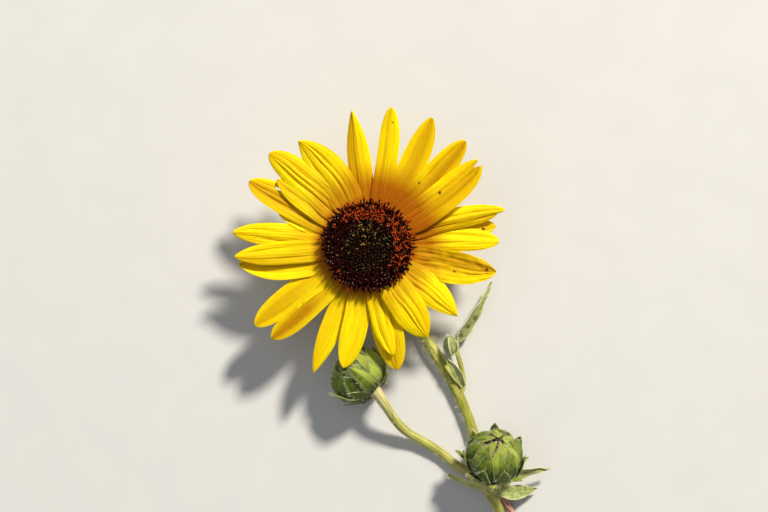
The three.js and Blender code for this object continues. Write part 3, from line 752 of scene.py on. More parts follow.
def bud(node_name, centre, facing, radius, half, rows, seed, heart_angle, skin, pressed=0.0, painted_light_side=0.0):
    """A bud's core and bracts, and the hairs on them. A row's angles are from the bud's foot to its tip;
    pressed is how far the bracts on its upper side lie flat, and painted_light_side how much paler, as
    painted light, those on its +X side are, both from 0 to 1."""
    dice = random.Random(seed)
    turn = Vector((0, 0, 1)).rotation_difference(Vector(facing).normalized()).to_matrix()
    middle = spot(*centre)
    bpy.ops.object.select_all(action="DESELECT")
    bpy.ops.mesh.primitive_uv_sphere_add(segments=48, ring_count=32, radius=1, location=(0, 0, 0))
    core = named(node_name + "_core")
    for vertex in core.data.vertices:
        place = Vector((vertex.co.x * radius, vertex.co.y * radius, vertex.co.z * half))
        place.z -= 1.2 * ramp(vertex.co.z, 0.8, 1.0)
        vertex.co = middle + turn @ (place * 0.95) * MM
    only(core)
    bpy.ops.object.shade_smooth()
    core.data.materials.append(core_skin)
    core.data.materials.append(bud_heart)
    for polygon in core.data.polygons:
        away = turn.inverted() @ (polygon.center - middle)
        if away.normalized().z > math.cos(math.radians(180 - heart_angle)):
            polygon.material_index = 1
    above = turn.inverted() @ Vector((0, 0, 1))
    clad, fringe = [], []
    for row in rows:
        for i in range(row["count"]):
            spin = math.tau * (i + row["turn"]) / row["count"] + dice.uniform(-0.08, 0.08)
            if "facing_up" in row:
                spin = math.atan2(above.y, above.x) + row["facing_up"]
            ends_at = row["end"] + dice.uniform(-5, 5)
            swing = Matrix.Rotation(spin, 3, "Z")
            standing = 1 - pressed * ramp((turn @ swing @ Vector((1, 0, 0))).z, 0.15, 0.85) * ("facing_up" not in row)
            out, lift = row["out"] * dice.uniform(0.6, 1.4) * standing, row["lift"] * (0.4 + 0.6 * standing)
            stops = []
            for step in range(25):
                t = step / 24
                angle = math.radians(blend(row["start"], ends_at, t))
                off = lift * ramp(t, 0, 0.35) + out * ramp(t, 0.55, 1) ** 2
                stops.append(Vector(((radius + off) * math.sin(angle), 0, -(half + off) * math.cos(angle))))
            line = evenly([middle + turn @ swing @ stop * MM for stop in stops], 24)
            width, hug = row["width"] * dice.uniform(0.9, 1.1), row["hug"]

            def shape(t, s, bend=dice.uniform(-0.8, 0.8), flare=dice.uniform(0.1, 0.5)):
                off = -hug * s * s * width / 5 * (1 - 0.5 * t) + flare * ramp(abs(s), 0.7, 1) ** 2
                return 0, bend * t * t, off - 0.1 * math.exp(-(s / 0.14) ** 2)

            sheet = blade(
                "bract", line, bract_half_width(width, 0.42, 0.96), shape, columns=10, rows=20,
                sideways=turn @ swing @ Vector((0, -1, 0)), to_tip=1.2, roll=row.get("roll", 0) + dice.uniform(-12, 12),
            )
            # A row's halves give each bract's paleness; on some rows it is painted light.
            left, right = row.get("halves", [0.7 * dice.random() ** 2.5] * 2)
            # Painted light: the bracts on the +X side, towards the lamp, are made paler.
            painted_side_light = painted_light_side * ramp((turn @ swing @ Vector((1, 0, 0))).x, 0, 0.7)
            marked(sheet, "young", lambda u, s: min(1, (left if s < 0 else right) + painted_side_light))
            fringe += margin_hairs(sheet, dice.random(), 0.42)
            clad.append(sheet)
    bracts = joined(node_name + "_bracts", clad)
    thickened(bracts, 0.36)
    for vertex in bracts.data.vertices:
        if vertex.co.z < PRESSED_FLAT:
            vertex.co.z = PRESSED_FLAT * math.exp(vertex.co.z / PRESSED_FLAT - 1)
    painted(bracts, skin)
    kept(bracts, "bract", node_name)
    kept(core, "bract")
    fringe += hair_places(bracts, 0.4, seed + 7, (0.3, 0.7), 0.5)
    kept(scattered(node_name + "_hairs", [hair_model(1.4, 0.04, 0.3)], fringe), "bract")


bud(
    "front_bud", (42.6, -70.6, 16.2), (0.05, 0.71, 0.7), 8.5, 7.1,
    [
        dict(count=7, start=26, end=80, width=4.6, lift=1.7, out=2.4, turn=0.2, hug=0.2),
        dict(count=7, start=28, end=112, width=6.4, lift=1.35, out=1.7, turn=0.65, hug=0.4),
        # Painted light: the inner rows' halves are paler where the bud's middle is lit.
        dict(count=6, start=34, end=150, width=8.0, lift=1.0, out=0.5, turn=0.15, hug=0.75, halves=(0.0, 0.12)),
        dict(count=6, start=45, end=164, width=8.4, lift=0.6, out=0.2, turn=0.6, hug=0.8, halves=(0.1, 0.6)),
        dict(count=5, start=110, end=174, width=4.4, lift=0.4, out=0.9, turn=0.1, hug=0.6, halves=(0.7, 0.7)),
    ],
    seed=31, heart_angle=148, skin=bract_skin,
)
bud(
    "rear_bud", (-3.2, -43.8, 10.8), (-0.76, 0.61, -0.21), 8.9, 8.2,
    [
        # Painted light: this bract's one half is paler along its lit edge.
        dict(count=1, start=14, end=113, width=5.2, lift=1.6, out=-1.1, turn=0.0, hug=0.9, facing_up=0.1, halves=(1.0, 0.1)),
        dict(count=8, start=15, end=80, width=6.4, lift=1.1, out=1.7, turn=0.0, hug=0.5),
        dict(count=8, start=30, end=106, width=7.4, lift=0.9, out=1.6, turn=0.5, hug=0.6),
        dict(count=7, start=50, end=130, width=8.2, lift=0.7, out=1.4, turn=0.1, hug=0.7),
        dict(count=6, start=84, end=160, width=7.6, lift=0.4, out=0.4, turn=0.5, hug=0.7),
        dict(count=6, start=112, end=172, width=4.6, lift=0.25, out=0.7, turn=0.1, hug=0.5),
    ],
    seed=37, heart_angle=150, skin=bract_skin, pressed=0.95, painted_light_side=0.85,
)
bud(
    "axil_bud", (28, -34, 7.2), (-0.1, 0.97, 0.22), 1.65, 3.4,
    [
        dict(count=2, start=12, end=166, width=4.2, lift=0.2, out=0.1, turn=0.2, hug=0.7),
        dict(count=3, start=25, end=172, width=3.4, lift=0.05, out=0.1, turn=0.65, hug=0.6),
    ],
    seed=41, heart_angle=172, skin=leaf_skin,
)


# The flower's collar: a shallow green cup, the receptacle, with two rows of pointed bracts round it.
# It stands on the end of the stalk; the cup and its bracts are one growth, rough with short hairs.
HEAD_HEIGHT = 22
RECEPTACLE = [(2.6, -9.9), (3.0, -8.3), (4.6, -7.3), (7.5, -6.2), (10.4, -4.9), (12.6, -3.2), (13.8, -1.5), (13.7, -0.55)]
COLLAR_ROWS = [
    dict(count=11, root=(9.5, -5.2), bend=(18, -5.4), tip=(25.4, -10.5), width=6.4, turn=0.0),
    dict(count=11, root=(11.2, -3.4), bend=(19, -3.4), tip=(26.4, -6.6), width=6.8, turn=0.5),
]


def turned(name, profile, sides):
    "A round piece under the flower's middle, drawn up ring by ring; radii and heights in mm."
    bpy.ops.object.select_all(action="DESELECT")
    (radius, height), *rest = profile
    bpy.ops.mesh.primitive_circle_add(
        vertices=sides, radius=radius * MM, fill_type="NGON", location=spot(0, 0, HEAD_HEIGHT + height)
    )
    piece = named(name)
    bpy.ops.object.transform_apply(location=True, rotation=False, scale=False)
    bpy.ops.object.mode_set(mode="EDIT")
    bpy.ops.mesh.select_all(action="SELECT")
    for new_radius, new_height in rest:
        bpy.ops.mesh.extrude_region_move(TRANSFORM_OT_translate={"value": (0, 0, (new_height - height) * MM)})
        share = new_radius / radius
        bpy.ops.transform.resize(value=(share, share, 1), center_override=spot(0, 0, HEAD_HEIGHT + new_height))
        radius, height = new_radius, new_height
    bpy.ops.object.mode_set(mode="OBJECT")
    return closed(piece, 50)


cup = painted(turned("flower_receptacle", RECEPTACLE, 64), core_skin)
collar_bracts, collar_fringe = [], []
dice = random.Random(53)
for row in COLLAR_ROWS:
    for i in range(row["count"]):
        swing = Matrix.Rotation(math.tau * (i + row["turn"]) / row["count"] + dice.uniform(-0.05, 0.05), 3, "Z")
        root, bend, tip = (Vector((r, 0, z)) for r, z in (row["root"], row["bend"], row["tip"]))
        tip += Vector((dice.uniform(-1.5, 1), dice.uniform(-2, 2), dice.uniform(-1, 0.5)))
        curve = [root * (1 - u) ** 2 + bend * 2 * u * (1 - u) + tip * u * u for u in (k / 30 for k in range(31))]
        line = evenly([spot(0, 0, HEAD_HEIGHT) + swing @ p * MM for p in curve], 30)
        sheet = blade(
            "bract", line, bract_half_width(row["width"]), lambda t, s: (0, 0, -0.7 * s * s * (1 - t) - 0.12 * math.exp(-(s / 0.15) ** 2)),
            columns=8, rows=22, to_tip=1.2, roll=dice.uniform(-8, 8),
        )
        collar_fringe += margin_hairs(sheet, dice.random(), 0.45)
        collar_bracts.append(sheet)
bracts = painted(thickened(joined("flower_collar_bracts", collar_bracts), 0.35), bract_skin)
kept(cup, "bract")
kept(bracts, "bract", "flower_collar")
collar_fringe += hair_places(bracts, 0.35, 61, (0.3, 0.7), 0.5) + hair_places(cup, 0.5, 62, (0.4, 1.0), 0.5)
kept(scattered("flower_collar_hairs", [hair_model(1.4, 0.04, 0.3)], collar_fringe), "bract")


# The disc: some four hundred tiny tubular flowers in spirals on a domed floor. In the middle they are
# still closed, olive-brown knobs among chaff scales with straw-coloured tips. Outside they are open:
# a maroon tube with five orange-red lobes, a dark column of anthers, and two curled stigmas.
# Towards the lamp more florets get the brighter orange-red lobes and away from it more get maroon ones,
# as painted light and shade, and the straw-tipped chaff stands more thickly towards the lamp as painted glints.
DISC_FLOOR = [(11.9, -0.2), (11.9, 3.7), (14.3, 3.8), (14.5, 4.3), (12.0, 5.0), (8.3, 5.6), (4.5, 5.4), (1.0, 5.2)]
FLORETS, FLORET_FIELD = 640, 14.7  # how many, and how far out they stand, in mm
OPEN_FROM, OPEN_WHOLLY = 7.4, 9.2  # mm from the middle

floor_skin, shader = new_finish("dark_floret_tissue", Roughness=0.9, Specular_IOR_Level=0.05)
tissue = add_node(floor_skin, "TexCoord")
mottle = add_node(floor_skin, "TexNoise", inputs={"Vector": tissue.outputs["Object"], "Scale": 900.0})
tones = add_node(floor_skin, "ValToRGB", {"stops": [(0.35, "#190605"), (0.7, "#3a120b")]}, {"Fac": mottle.outputs["Fac"]})
floor_skin.node_tree.links.new(tones.outputs[0], shader.inputs["Base Color"])


def floret_finish(name, stops, roughness=0.75):
    "A floret's tissue, coloured from its foot to its tip, with a little difference between florets."
    made, shader = new_finish(name, Roughness=roughness, Specular_IOR_Level=0.12)
    reach = add_node(made, "Attribute", {"attribute_name": "reach"})
    tissue = add_node(made, "TexCoord")
    field = add_node(made, "TexNoise", inputs={"Vector": tissue.outputs["Object"], "Scale": 700.0, "Detail": 1.0})
    shifted = add_node(made, "MapRange", inputs={"Value": field.outputs["Fac"], 1: 0.25, 2: 0.75, 3: -0.25, 4: 0.2})
    total = add_node(made, "Math", {"operation": "ADD", "use_clamp": True}, {0: reach.outputs["Fac"], 1: shifted.outputs[0]})
    tones = add_node(made, "ValToRGB", {"stops": stops}, {"Fac": total.outputs[0]})
    made.node_tree.links.new(tones.outputs[0], shader.inputs["Base Color"])
    return made


lobe_painted_lit = floret_finish("orange_red_floret_lobes", [(0.22, "#2a0704"), (0.42, "#a3300f"), (0.64, "#e0601f"), (0.92, "#f49a48")])
lobe_maroon_and_painted_shade = floret_finish("maroon_floret_lobes", [(0.3, "#1a0504"), (0.65, "#4c130a"), (0.95, "#8e3216")])
anther_skin = floret_finish("dark_anthers", [(0.3, "#120504"), (0.7, "#3c130a"), (1.0, "#8e3c1c")])
stigma_skin = floret_finish("orange_stigmas", [(0.1, "#8a2b0e"), (0.4, "#cc5219"), (0.9, "#f0923e")])
knob_skin = floret_finish("olive_brown_closed_florets", [(0.4, "#080502"), (0.8, "#181106"), (1.0, "#40301a")])
chaff_skin = floret_finish("straw_tipped_chaff", [(0.5, "#150d06"), (0.75, "#6e4e22"), (1.0, "#c8a55e")])
pollen_skin = floret_finish("pale_pollen_grains", [(0.0, "#7d5a4a"), (1.0, "#b8957f")], roughness=0.9)


def reached(piece, value_at):
    marks = piece.data.attributes.new("reach", "FLOAT", "POINT")
    for vertex in piece.data.vertices:
        marks.data[vertex.index].value = value_at(vertex.co / MM)


def drawn_up(name, sides, rings, material, value_at, spin=0.0):
    "A small closed form drawn up from a ring: (radius, height, sideways) in mm."
    bpy.ops.object.select_all(action="DESELECT")
    (radius, height, aside), *rest = rings
    bpy.ops.mesh.primitive_circle_add(
        vertices=sides, radius=radius * MM, fill_type="NGON", location=(aside * MM, 0, height * MM), rotation=(0, 0, spin)
    )
    piece = named(name)
    bpy.ops.object.transform_apply(location=True, rotation=True, scale=False)
    bpy.ops.object.mode_set(mode="EDIT")
    bpy.ops.mesh.select_all(action="SELECT")
    for new_radius, new_height, new_aside in rest:
        move = Vector(((new_aside - aside), 0, new_height - height)) * MM
        bpy.ops.mesh.extrude_region_move(TRANSFORM_OT_translate={"value": move})
        share = new_radius / radius
        bpy.ops.transform.resize(value=(share, share, 1), center_override=(new_aside * MM, 0, new_height * MM))
        radius, height, aside = new_radius, new_height, new_aside
    bpy.ops.object.mode_set(mode="OBJECT")
    reached(piece, value_at)
    closed(piece, 50)
    return painted(piece, material)


def open_floret(name, lobes_material, spread, stigma):
    "An open floret: its corolla's rim is pulled out into five lobes round the anthers."
    corolla = drawn_up(
        name, 10, [(0.28, -0.4, 0), (0.3, 0.6, 0), (0.38, 1.3, 0), (0.46, 1.8, 0), (0.22, 1.3, 0)],
        lobes_material, lambda p: ramp(p.z, 0.2, 1.9) * 0.75 + ramp(p.xy.length, 0.5, 1.05) * 0.35,
    )
    for vertex in corolla.data.vertices:
        if vertex.co.z > 1.6 * MM:
            turn = math.atan2(vertex.co.y, vertex.co.x) * 5 / 2
            tip = math.cos(turn) ** 2
            vertex.co.xy *= blend(0.68, spread, tip)
            vertex.co.z += blend(-0.7, 0.55, tip) * MM
    marks = corolla.data.attributes["reach"]
    for vertex in corolla.data.vertices:
        p = vertex.co / MM
        marks.data[vertex.index].value = ramp(p.z, 0.4, 2.1) * 0.62 + ramp(p.xy.length, 0.45, 1.15) * 0.5
    column = drawn_up(
        "anthers", 5, [(0.17, 0.9, 0), (0.19, 1.8, 0), (0.17, 2.3, 0), (0.07, 2.5, 0)], anther_skin,
        lambda p: ramp(p.z, 1, 2.9),
    )
    parts = [corolla, column]
    if stigma:
        for side in (1, -1):
            parts.append(drawn_up(
                "stigma", 3,
                [(0.12, 2.4, 0.05 * side), (0.12, 2.9, 0.16 * side), (0.11, 3.15, 0.42 * side), (0.05, 3.15, 0.72 * side)],
                stigma, lambda p: ramp(abs(p.x), 0, 0.9),
            ))
    return joined(name, parts)


def closed_floret(name, radius, height):
    knob = drawn_up(
        name, 10, [(radius * 0.75, -0.3, 0), (radius, height * 0.45, 0), (radius * 0.75, height * 0.8, 0), (radius * 0.12, height, 0)],
        knob_skin, lambda p: ramp(p.z, 0, height),
    )
    for vertex in knob.data.vertices:  # five seams between the folded lobes
        if vertex.co.z > 0.4 * height * MM:
            vertex.co.xy *= blend(0.82, 1.06, math.cos(math.atan2(vertex.co.y, vertex.co.x) * 5 / 2) ** 2)
    return knob


disc_floor = painted(turned("disc_floor", DISC_FLOOR, 48), floor_skin)
floor_heights = [(r, z) for r, z in reversed(DISC_FLOOR) if z > 3.75]


def floor_height(r):
    for (r0, z0), (r1, z1) in zip(floor_heights, floor_heights[1:]):
        if r <= r1:
            return blend(z0, z1, ramp(r, r0, r1))
    return floor_heights[-1][1]


dice = random.Random(71)
golden = math.pi * (3 - math.sqrt(5))
closed_places, open_places, pollen_places = [], [], []
for i in range(FLORETS):
    radius = FLORET_FIELD * math.sqrt((i + 0.6) / FLORETS)
    angle = i * golden + 0.4
    outwards = Vector((math.cos(angle), math.sin(angle), 0))
    wander = Vector((dice.uniform(-1, 1), dice.uniform(-1, 1), 0))
    base = spot(*(outwards * radius + wander * 0.12).xy, HEAD_HEIGHT + floor_height(radius) - 0.2)
    # Painted light and shade: how far a floret faces the lamp, which picks bright or maroon lobes below.
    lit = ramp(outwards.dot(Vector((0.62, 0.78, 0))), -0.3, 0.6)
    openness = ramp(radius, OPEN_FROM, OPEN_WHOLLY) + dice.uniform(-0.2, 0.2)
    if openness < 0.5:
        lean = outwards * radius * 0.012 + wander * 0.1
        size = blend(0.72, 1.0, ramp(radius, 0, 8)) * dice.uniform(0.9, 1.08)
        closed_places.append((base, turned_to(lean + Vector((0, 0, 1)), dice.uniform(0, 6.3)), size, dice.randrange(2)))
        beside = base + (outwards * 0.6 + wander * 0.25) * MM
        tall = dice.uniform(0.75, 1.15)
        # Painted glints: chaff scales, the paler-tipped kind most, stand more thickly on the side towards the lamp.
        painted_glint_share = 0.35 + 0.65 * ramp(base.y - UNDER_FLOWER.y, -2 * MM, 3 * MM)
        for _ in range(2):
            scale_turn = turned_to(-outwards * 0.2 + Vector((dice.uniform(-0.6, 0.6), dice.uniform(-0.6, 0.6), 1)), dice.uniform(0, 6.3))
            if dice.random() < painted_glint_share:
                closed_places.append((beside, scale_turn, tall, 2 + (dice.random() < 0.45 * painted_glint_share)))
            beside = base - (outwards * 0.3 + wander * 0.5) * MM
    else:
        rim = ramp(radius, 12.2, FLORET_FIELD)
        lean = outwards * (0.28 + 0.62 * rim ** 1.5) + wander * 0.25
        size = dice.uniform(0.74, 1.0)
        # Painted light and shade: bright orange-red lobes on the lamp side, maroon ones away from it.
        kind = (0 if dice.random() < 0.9 * lit + 0.03 else 2) + (dice.random() < 0.5)
        if dice.random() < 0.6 * rim:
            kind = 4 + (dice.random() < 0.6)
        open_places.append((base, turned_to(lean + Vector((0, 0, 1)), dice.uniform(0, 6.3)), size, kind))
        if dice.random() < 0.1 + 0.15 * (1 - lit):
            on_top = base + Vector((wander.y, wander.x, 0)) * 0.5 * MM + Vector((0, 0, 2.9 * MM))
            pollen_places.append((on_top, turned_to(wander + Vector((0, 0, 0.3)), 0), dice.uniform(0.6, 1.3), 0))

closed_models = [
    closed_floret("knob_a", 0.47, 1.65), closed_floret("knob_b", 0.43, 1.95),
    drawn_up("scale_a", 3, [(0.12, 0, 0), (0.12, 1.3, 0.05), (0.08, 1.95, 0.2), (0.03, 2.2, 0.45)], chaff_skin, lambda p: ramp(p.z, 0.9, 3.2)),
    drawn_up("scale_b", 3, [(0.12, 0, 0), (0.12, 1.4, 0.05), (0.085, 2.05, 0.3), (0.03, 2.25, 0.75)], chaff_skin, lambda p: ramp(p.z, 0.4, 2.2)),
]
rim_rings = [(0.22, -0.3, 0), (0.32, 0.8, 0), (0.4, 1.7, 0), (0.3, 2.3, 0.05), (0.06, 2.9, 0.15)]
open_models = [
    open_floret("floret_a", lobe_painted_lit, 1.75, stigma_skin), open_floret("floret_b", lobe_painted_lit, 1.45, stigma_skin),
    open_floret("floret_c", lobe_maroon_and_painted_shade, 1.6, None), open_floret("floret_d", lobe_maroon_and_painted_shade, 1.4, lobe_maroon_and_painted_shade),
    drawn_up("floret_e", 6, rim_rings, anther_skin, lambda p: ramp(p.z, 0.5, 3.2)),
    drawn_up("floret_f", 6, rim_rings, lobe_maroon_and_painted_shade, lambda p: ramp(p.z, 0.5, 2.9)),
]
bpy.ops.object.select_all(action="DESELECT")
bpy.ops.mesh.primitive_ico_sphere_add(subdivisions=1, radius=0.17 * MM, location=(0, 0, 0))
grain_model = painted(closed(named("grain_model"), 80), pollen_skin)
reached(grain_model, lambda p: 0.6)
kept(disc_floor, "disc_florets", "flower_disc")
kept(scattered("closed_florets", closed_models, closed_places), "disc_florets")
kept(scattered("open_florets", open_models, open_places), "disc_florets")
kept(scattered("pollen_grains", [grain_model], pollen_places), "disc_florets")


# The rays: twenty-five golden petals, each a thin tongue with two deep folds and finer veins along
# it. They overlap in layers as they opened. Some tips are notched, and a few have small brown spots.
# Their colour also carries painted shade: amber at the roots, partly their own orange and partly
# painted shade, a deeper orange in the valleys, and a darker gold on the petals and halves in shade.
ray_skin, shader = new_finish("golden_ray_petal", Roughness=0.6, Specular_IOR_Level=0.1, Subsurface_Weight=0.25, Subsurface_Scale=0.0012)
place = add_node(ray_skin, "UVMap")
halves = add_node(ray_skin, "SeparateXYZ", inputs={"Vector": place.outputs["UV"]})
veins_field = add_node(ray_skin, "Mapping", inputs={"Vector": place.outputs["UV"], "Scale": (1.6, 26.0, 1.0)})
veins = add_node(ray_skin, "TexNoise", inputs={"Vector": veins_field.outputs[0], "Scale": 1.0, "Detail": 5.0, "Roughness": 0.6})
yellows = add_node(
    ray_skin, "ValToRGB", {"stops": [(0.28, "#f6c800"), (0.48, "#fddc00"), (0.7, "#ffea10")]}, {"Fac": veins.outputs["Fac"]}
)
# Partly the petals' own deeper orange at the root, partly painted shade: an amber over each root, deepest on the petals
# up to the right and next to the disc.
root_orange_and_shade = add_node(ray_skin, "Attribute", {"attribute_name": "root"})
veiled = add_node(ray_skin, "Math", {"operation": "MULTIPLY_ADD"}, {0: veins.outputs["Fac"], 1: -0.6, 2: 0.27})
rooted = add_node(ray_skin, "Math", {"operation": "ADD", "use_clamp": True}, {0: root_orange_and_shade.outputs["Fac"], 1: veiled.outputs[0]})
warm = add_node(
    ray_skin, "Mix", {"data_type": "RGBA"}, {"Factor": rooted.outputs[0], 6: yellows.outputs["Color"], 7: colour("#a65a00")}
)
# Painted shade: each petal's valleys are coloured a deeper orange, as the shade in its creases.
groove = add_node(ray_skin, "Attribute", {"attribute_name": "groove"})
crease_shaded = add_node(
    ray_skin, "Mix", {"data_type": "RGBA"}, {"Factor": groove.outputs["Fac"], 6: warm.outputs[2], 7: colour("#cf9200")}
)
# Painted shade: a darker gold laid over the petals, and the halves of petals, that lie in shade.
painted_shade_share = add_node(ray_skin, "Attribute", {"attribute_name": "gold"})
painted_shade_mixed = add_node(
    ray_skin, "Mix", {"data_type": "RGBA"}, {"Factor": painted_shade_share.outputs["Fac"], 6: crease_shaded.outputs[2], 7: colour("#ad7800")}
)
brown = add_node(ray_skin, "Attribute", {"attribute_name": "brown"})
spotted = add_node(
    ray_skin, "Mix", {"data_type": "RGBA"}, {"Factor": brown.outputs["Fac"], 6: painted_shade_mixed.outputs[2], 7: colour("#5a2a0c")}
)
ray_relief = add_node(ray_skin, "Bump", inputs={"Height": veins.outputs["Fac"], "Strength": 0.5, "Distance": 0.0004})
ray_skin.node_tree.links.new(spotted.outputs[2], shader.inputs["Base Color"])
ray_skin.node_tree.links.new(ray_relief.outputs[0], shader.inputs["Normal"])

RING_RADIUS, LAYER_STEP = 12.3, 0.7
# Each petal's angle, swing, reach, width, arch, tip, layer and blunt are as the part's source has them.
# Then: how far its margins hang below its crown (or stand above, if negative) in mm, where the crown
# runs across it, how far it turns about its midrib at root and tip in degrees, how strong its lobes
# are, and how deep a painted shade in darker gold lies on it, with the place across it where that is the most.
RAYS = [
    (5.4, -3.4, 43.8, 7.8, 0.2, -0.6, 1, 1.0, 1.1, -0.3, (4, 8), 0.9, (0, 0)),
    (10, -1, 43.2, 8.4, 0.2, -0.8, 0, 0.8, 0.4, 0.0, (-6, -12), 0.6, (0.5, 0)),
    (19, -4.6, 47.1, 7, 1.2, 1.6, 2, 0.8, 1.2, 0.05, (6, 12), 1.0, (0.45, -0.5)),
    (31, 5.8, 46.9, 10.6, 2.6, 5.5, 3, 1.0, -0.5, 0.3, (-4, -12), 1.1, (0.6, -0.2)),
    (46, 1.2, 47.4, 8.6, 3, 5.5, 1, 1.0, 0.5, 0.1, (2, 6), 1.2, (0.75, -0.2)),
    (60, 3.5, 47.5, 8.8, 3, 5.5, 0, 0.8, 0.3, -0.3, (2, -4), 0.45, (0.6, -0.1)),
    (76, 4.4, 46.5, 7, 2.8, 5, 1, 1.0, 1.2, -0.3, (0, 6), 0.7, (0.15, 0.3)),
    (95.5, 1.3, 45.2, 7.7, 2.2, 4.5, 0, 0.0, 1.6, -0.05, (2, -6), 0.7, (0.6, 0.5)),
    (114.5, 9, 41.8, 12.1, 1.6, 1.5, 4, 0.2, 1.0, -0.35, (-4, -12), 0.9, (0.15, 0)),
    (131.5, 5.4, 45, 10, 1.4, 0.5, 3, 1.0, 0.8, -0.2, (-2, -8), 1.1, (0.3, -0.3)),
    (143, 0.6, 37.5, 8, 0.9, 0, 2, 0.6, 0.6, 0.0, (8, 14), 0.8, (0.45, 0.2)),
    (151, 0.4, 45.2, 9.6, 0.8, -0.8, 1, 1.0, 0.7, -0.4, (8, 14), 1.1, (0.75, 0.1)),
    (160, -1.6, 32.8, 6.2, 0.4, -1.2, 0, 0.4, -0.8, 0.1, (8, 16), 0.6, (0.1, 0)),
    (172, 2.3, 45.5, 7.9, 0.6, -1.2, 1, 0.7, 1.0, -0.1, (-2, 0), 0.8, (0.2, 0.4)),
    (184.6, 0, 44.7, 7.8, 0.8, -0.8, 2, 0.5, 0.9, 0.35, (0, -6), 1.0, (0.45, 0.5)),
    (196, -8, 43.9, 10, 0.2, -2.5, 0, 0.2, -1.2, 0.1, (8, 12), 0.7, (0.45, -0.3)),
    (212, 3.2, 46.2, 9, 0.2, -2, 1, 1.0, 0.6, -0.1, (6, 16), 0.6, (0.6, 0)),
    (225.5, -1.8, 44.6, 8.4, 0.2, -1.6, 2, 1.0, 0.8, -0.6, (8, 18), 0.6, (0.95, 0.1)),
    (245.5, 1.3, 46.2, 7.4, 0, -2.5, 0, 0.2, 1.0, -0.35, (-6, -14), 0.6, (0.25, -0.6)),
    (262, -3.3, 41.5, 8.7, 0.2, -1.6, 1, 0.8, 0.9, -0.45, (-4, -10), 0.5, (0.15, 0.5)),
    (279, 4, 37.5, 6.6, 0.6, -1.6, 2, 0.5, 0.8, 0.2, (-2, -10), 1.1, (0.2, 0.4)),
    (283, 0, 42.5, 10.6, 0, -2.2, 0, 0.8, 0.5, 0.2, (10, 16), 0.7, (0.55, 0)),
    (303, 0, 36.4, 11.2, 2.2, -5, 5, 0.4, 1.4, 0.1, (0, -6), 1.1, (0.25, 0.5)),
    (326, -4, 38, 9.8, 1.5, -4, 4, 0.0, 1.2, 0.1, (0, -6), 0.9, (0.15, -0.5)),
    (344.5, 4, 43.6, 11.2, 0.4, -1.2, 3, 0.5, -0.7, 0.2, (6, 12), 0.8, (0.8, 0.35)),
]
# Notches in a tip: (place across, depth in mm, width across). Spots: (place along, across, radius in mm).
NOTCHES = {
    4: [(-0.6, 1.8, 0.4)], 13: [(0.3, 1.2, 0.2), (-0.5, 1.4, 0.2)], 3: [(-0.8, 3, 0.45)],
    10: [(0.2, 0.7, 0.3)], 25: [(-0.3, 1.0, 0.2)],
}
SPOTS = {4: [(0.5, 0.35, 0.75)], 2: [(0.86, -0.2, 0.7)], 7: [(0.86, -0.25, 0.4)], 25: [(0.56, -0.25, 0.5), (0.9, 0.2, 0.7)], 5: [(0.42, 0.5, 0.5)]}
RAY_THICKNESS = 0.3
LOBE_HEIGHT = 0.6
# What is gone from a petal: a small hole in one, and a wedge torn from another's tip.
EATEN = {
    12: lambda p: math.hypot(0.87 * (p.x + 30.2) - 0.48 * (p.y - 19.1), 1.9 * (p.y - 19.1) + 1.07 * (p.x + 30.2)) < 1.1,
    4: lambda p: abs(math.atan2(p.y - 26.0, p.x - 35.0) - 0.6) < 0.42 + 0.04 * math.sin(p.x * 5),
}
WRINKLED = {25: 0.35, 17: 0.12, 3: 0.1}  # petals creased across as well, in mm


def ray_half_width(width, blunt):
    def half(t):
        spread = blend(0.7, 1, math.sin(math.pi / 2 * ramp(t, 0, 0.28)))
        return max(0.12, width / 2 * spread * (1 - ramp(t, 0.5, 1) ** (1.7 + blunt)) ** max(0.2, 0.85 - 0.3 * blunt))
    return half


def lobe_at(s, valleys):
    "How high the rounded lobes between a petal's valleys stand, from 0 to 1."
    edges = [-1.12, *valleys, 1.12]
    for a, b in zip(edges, edges[1:]):
        if s <= b:
            return max(0.0, 4 * (s - a) * (b - s) / (b - a) ** 2) ** 0.85
    return 0.0


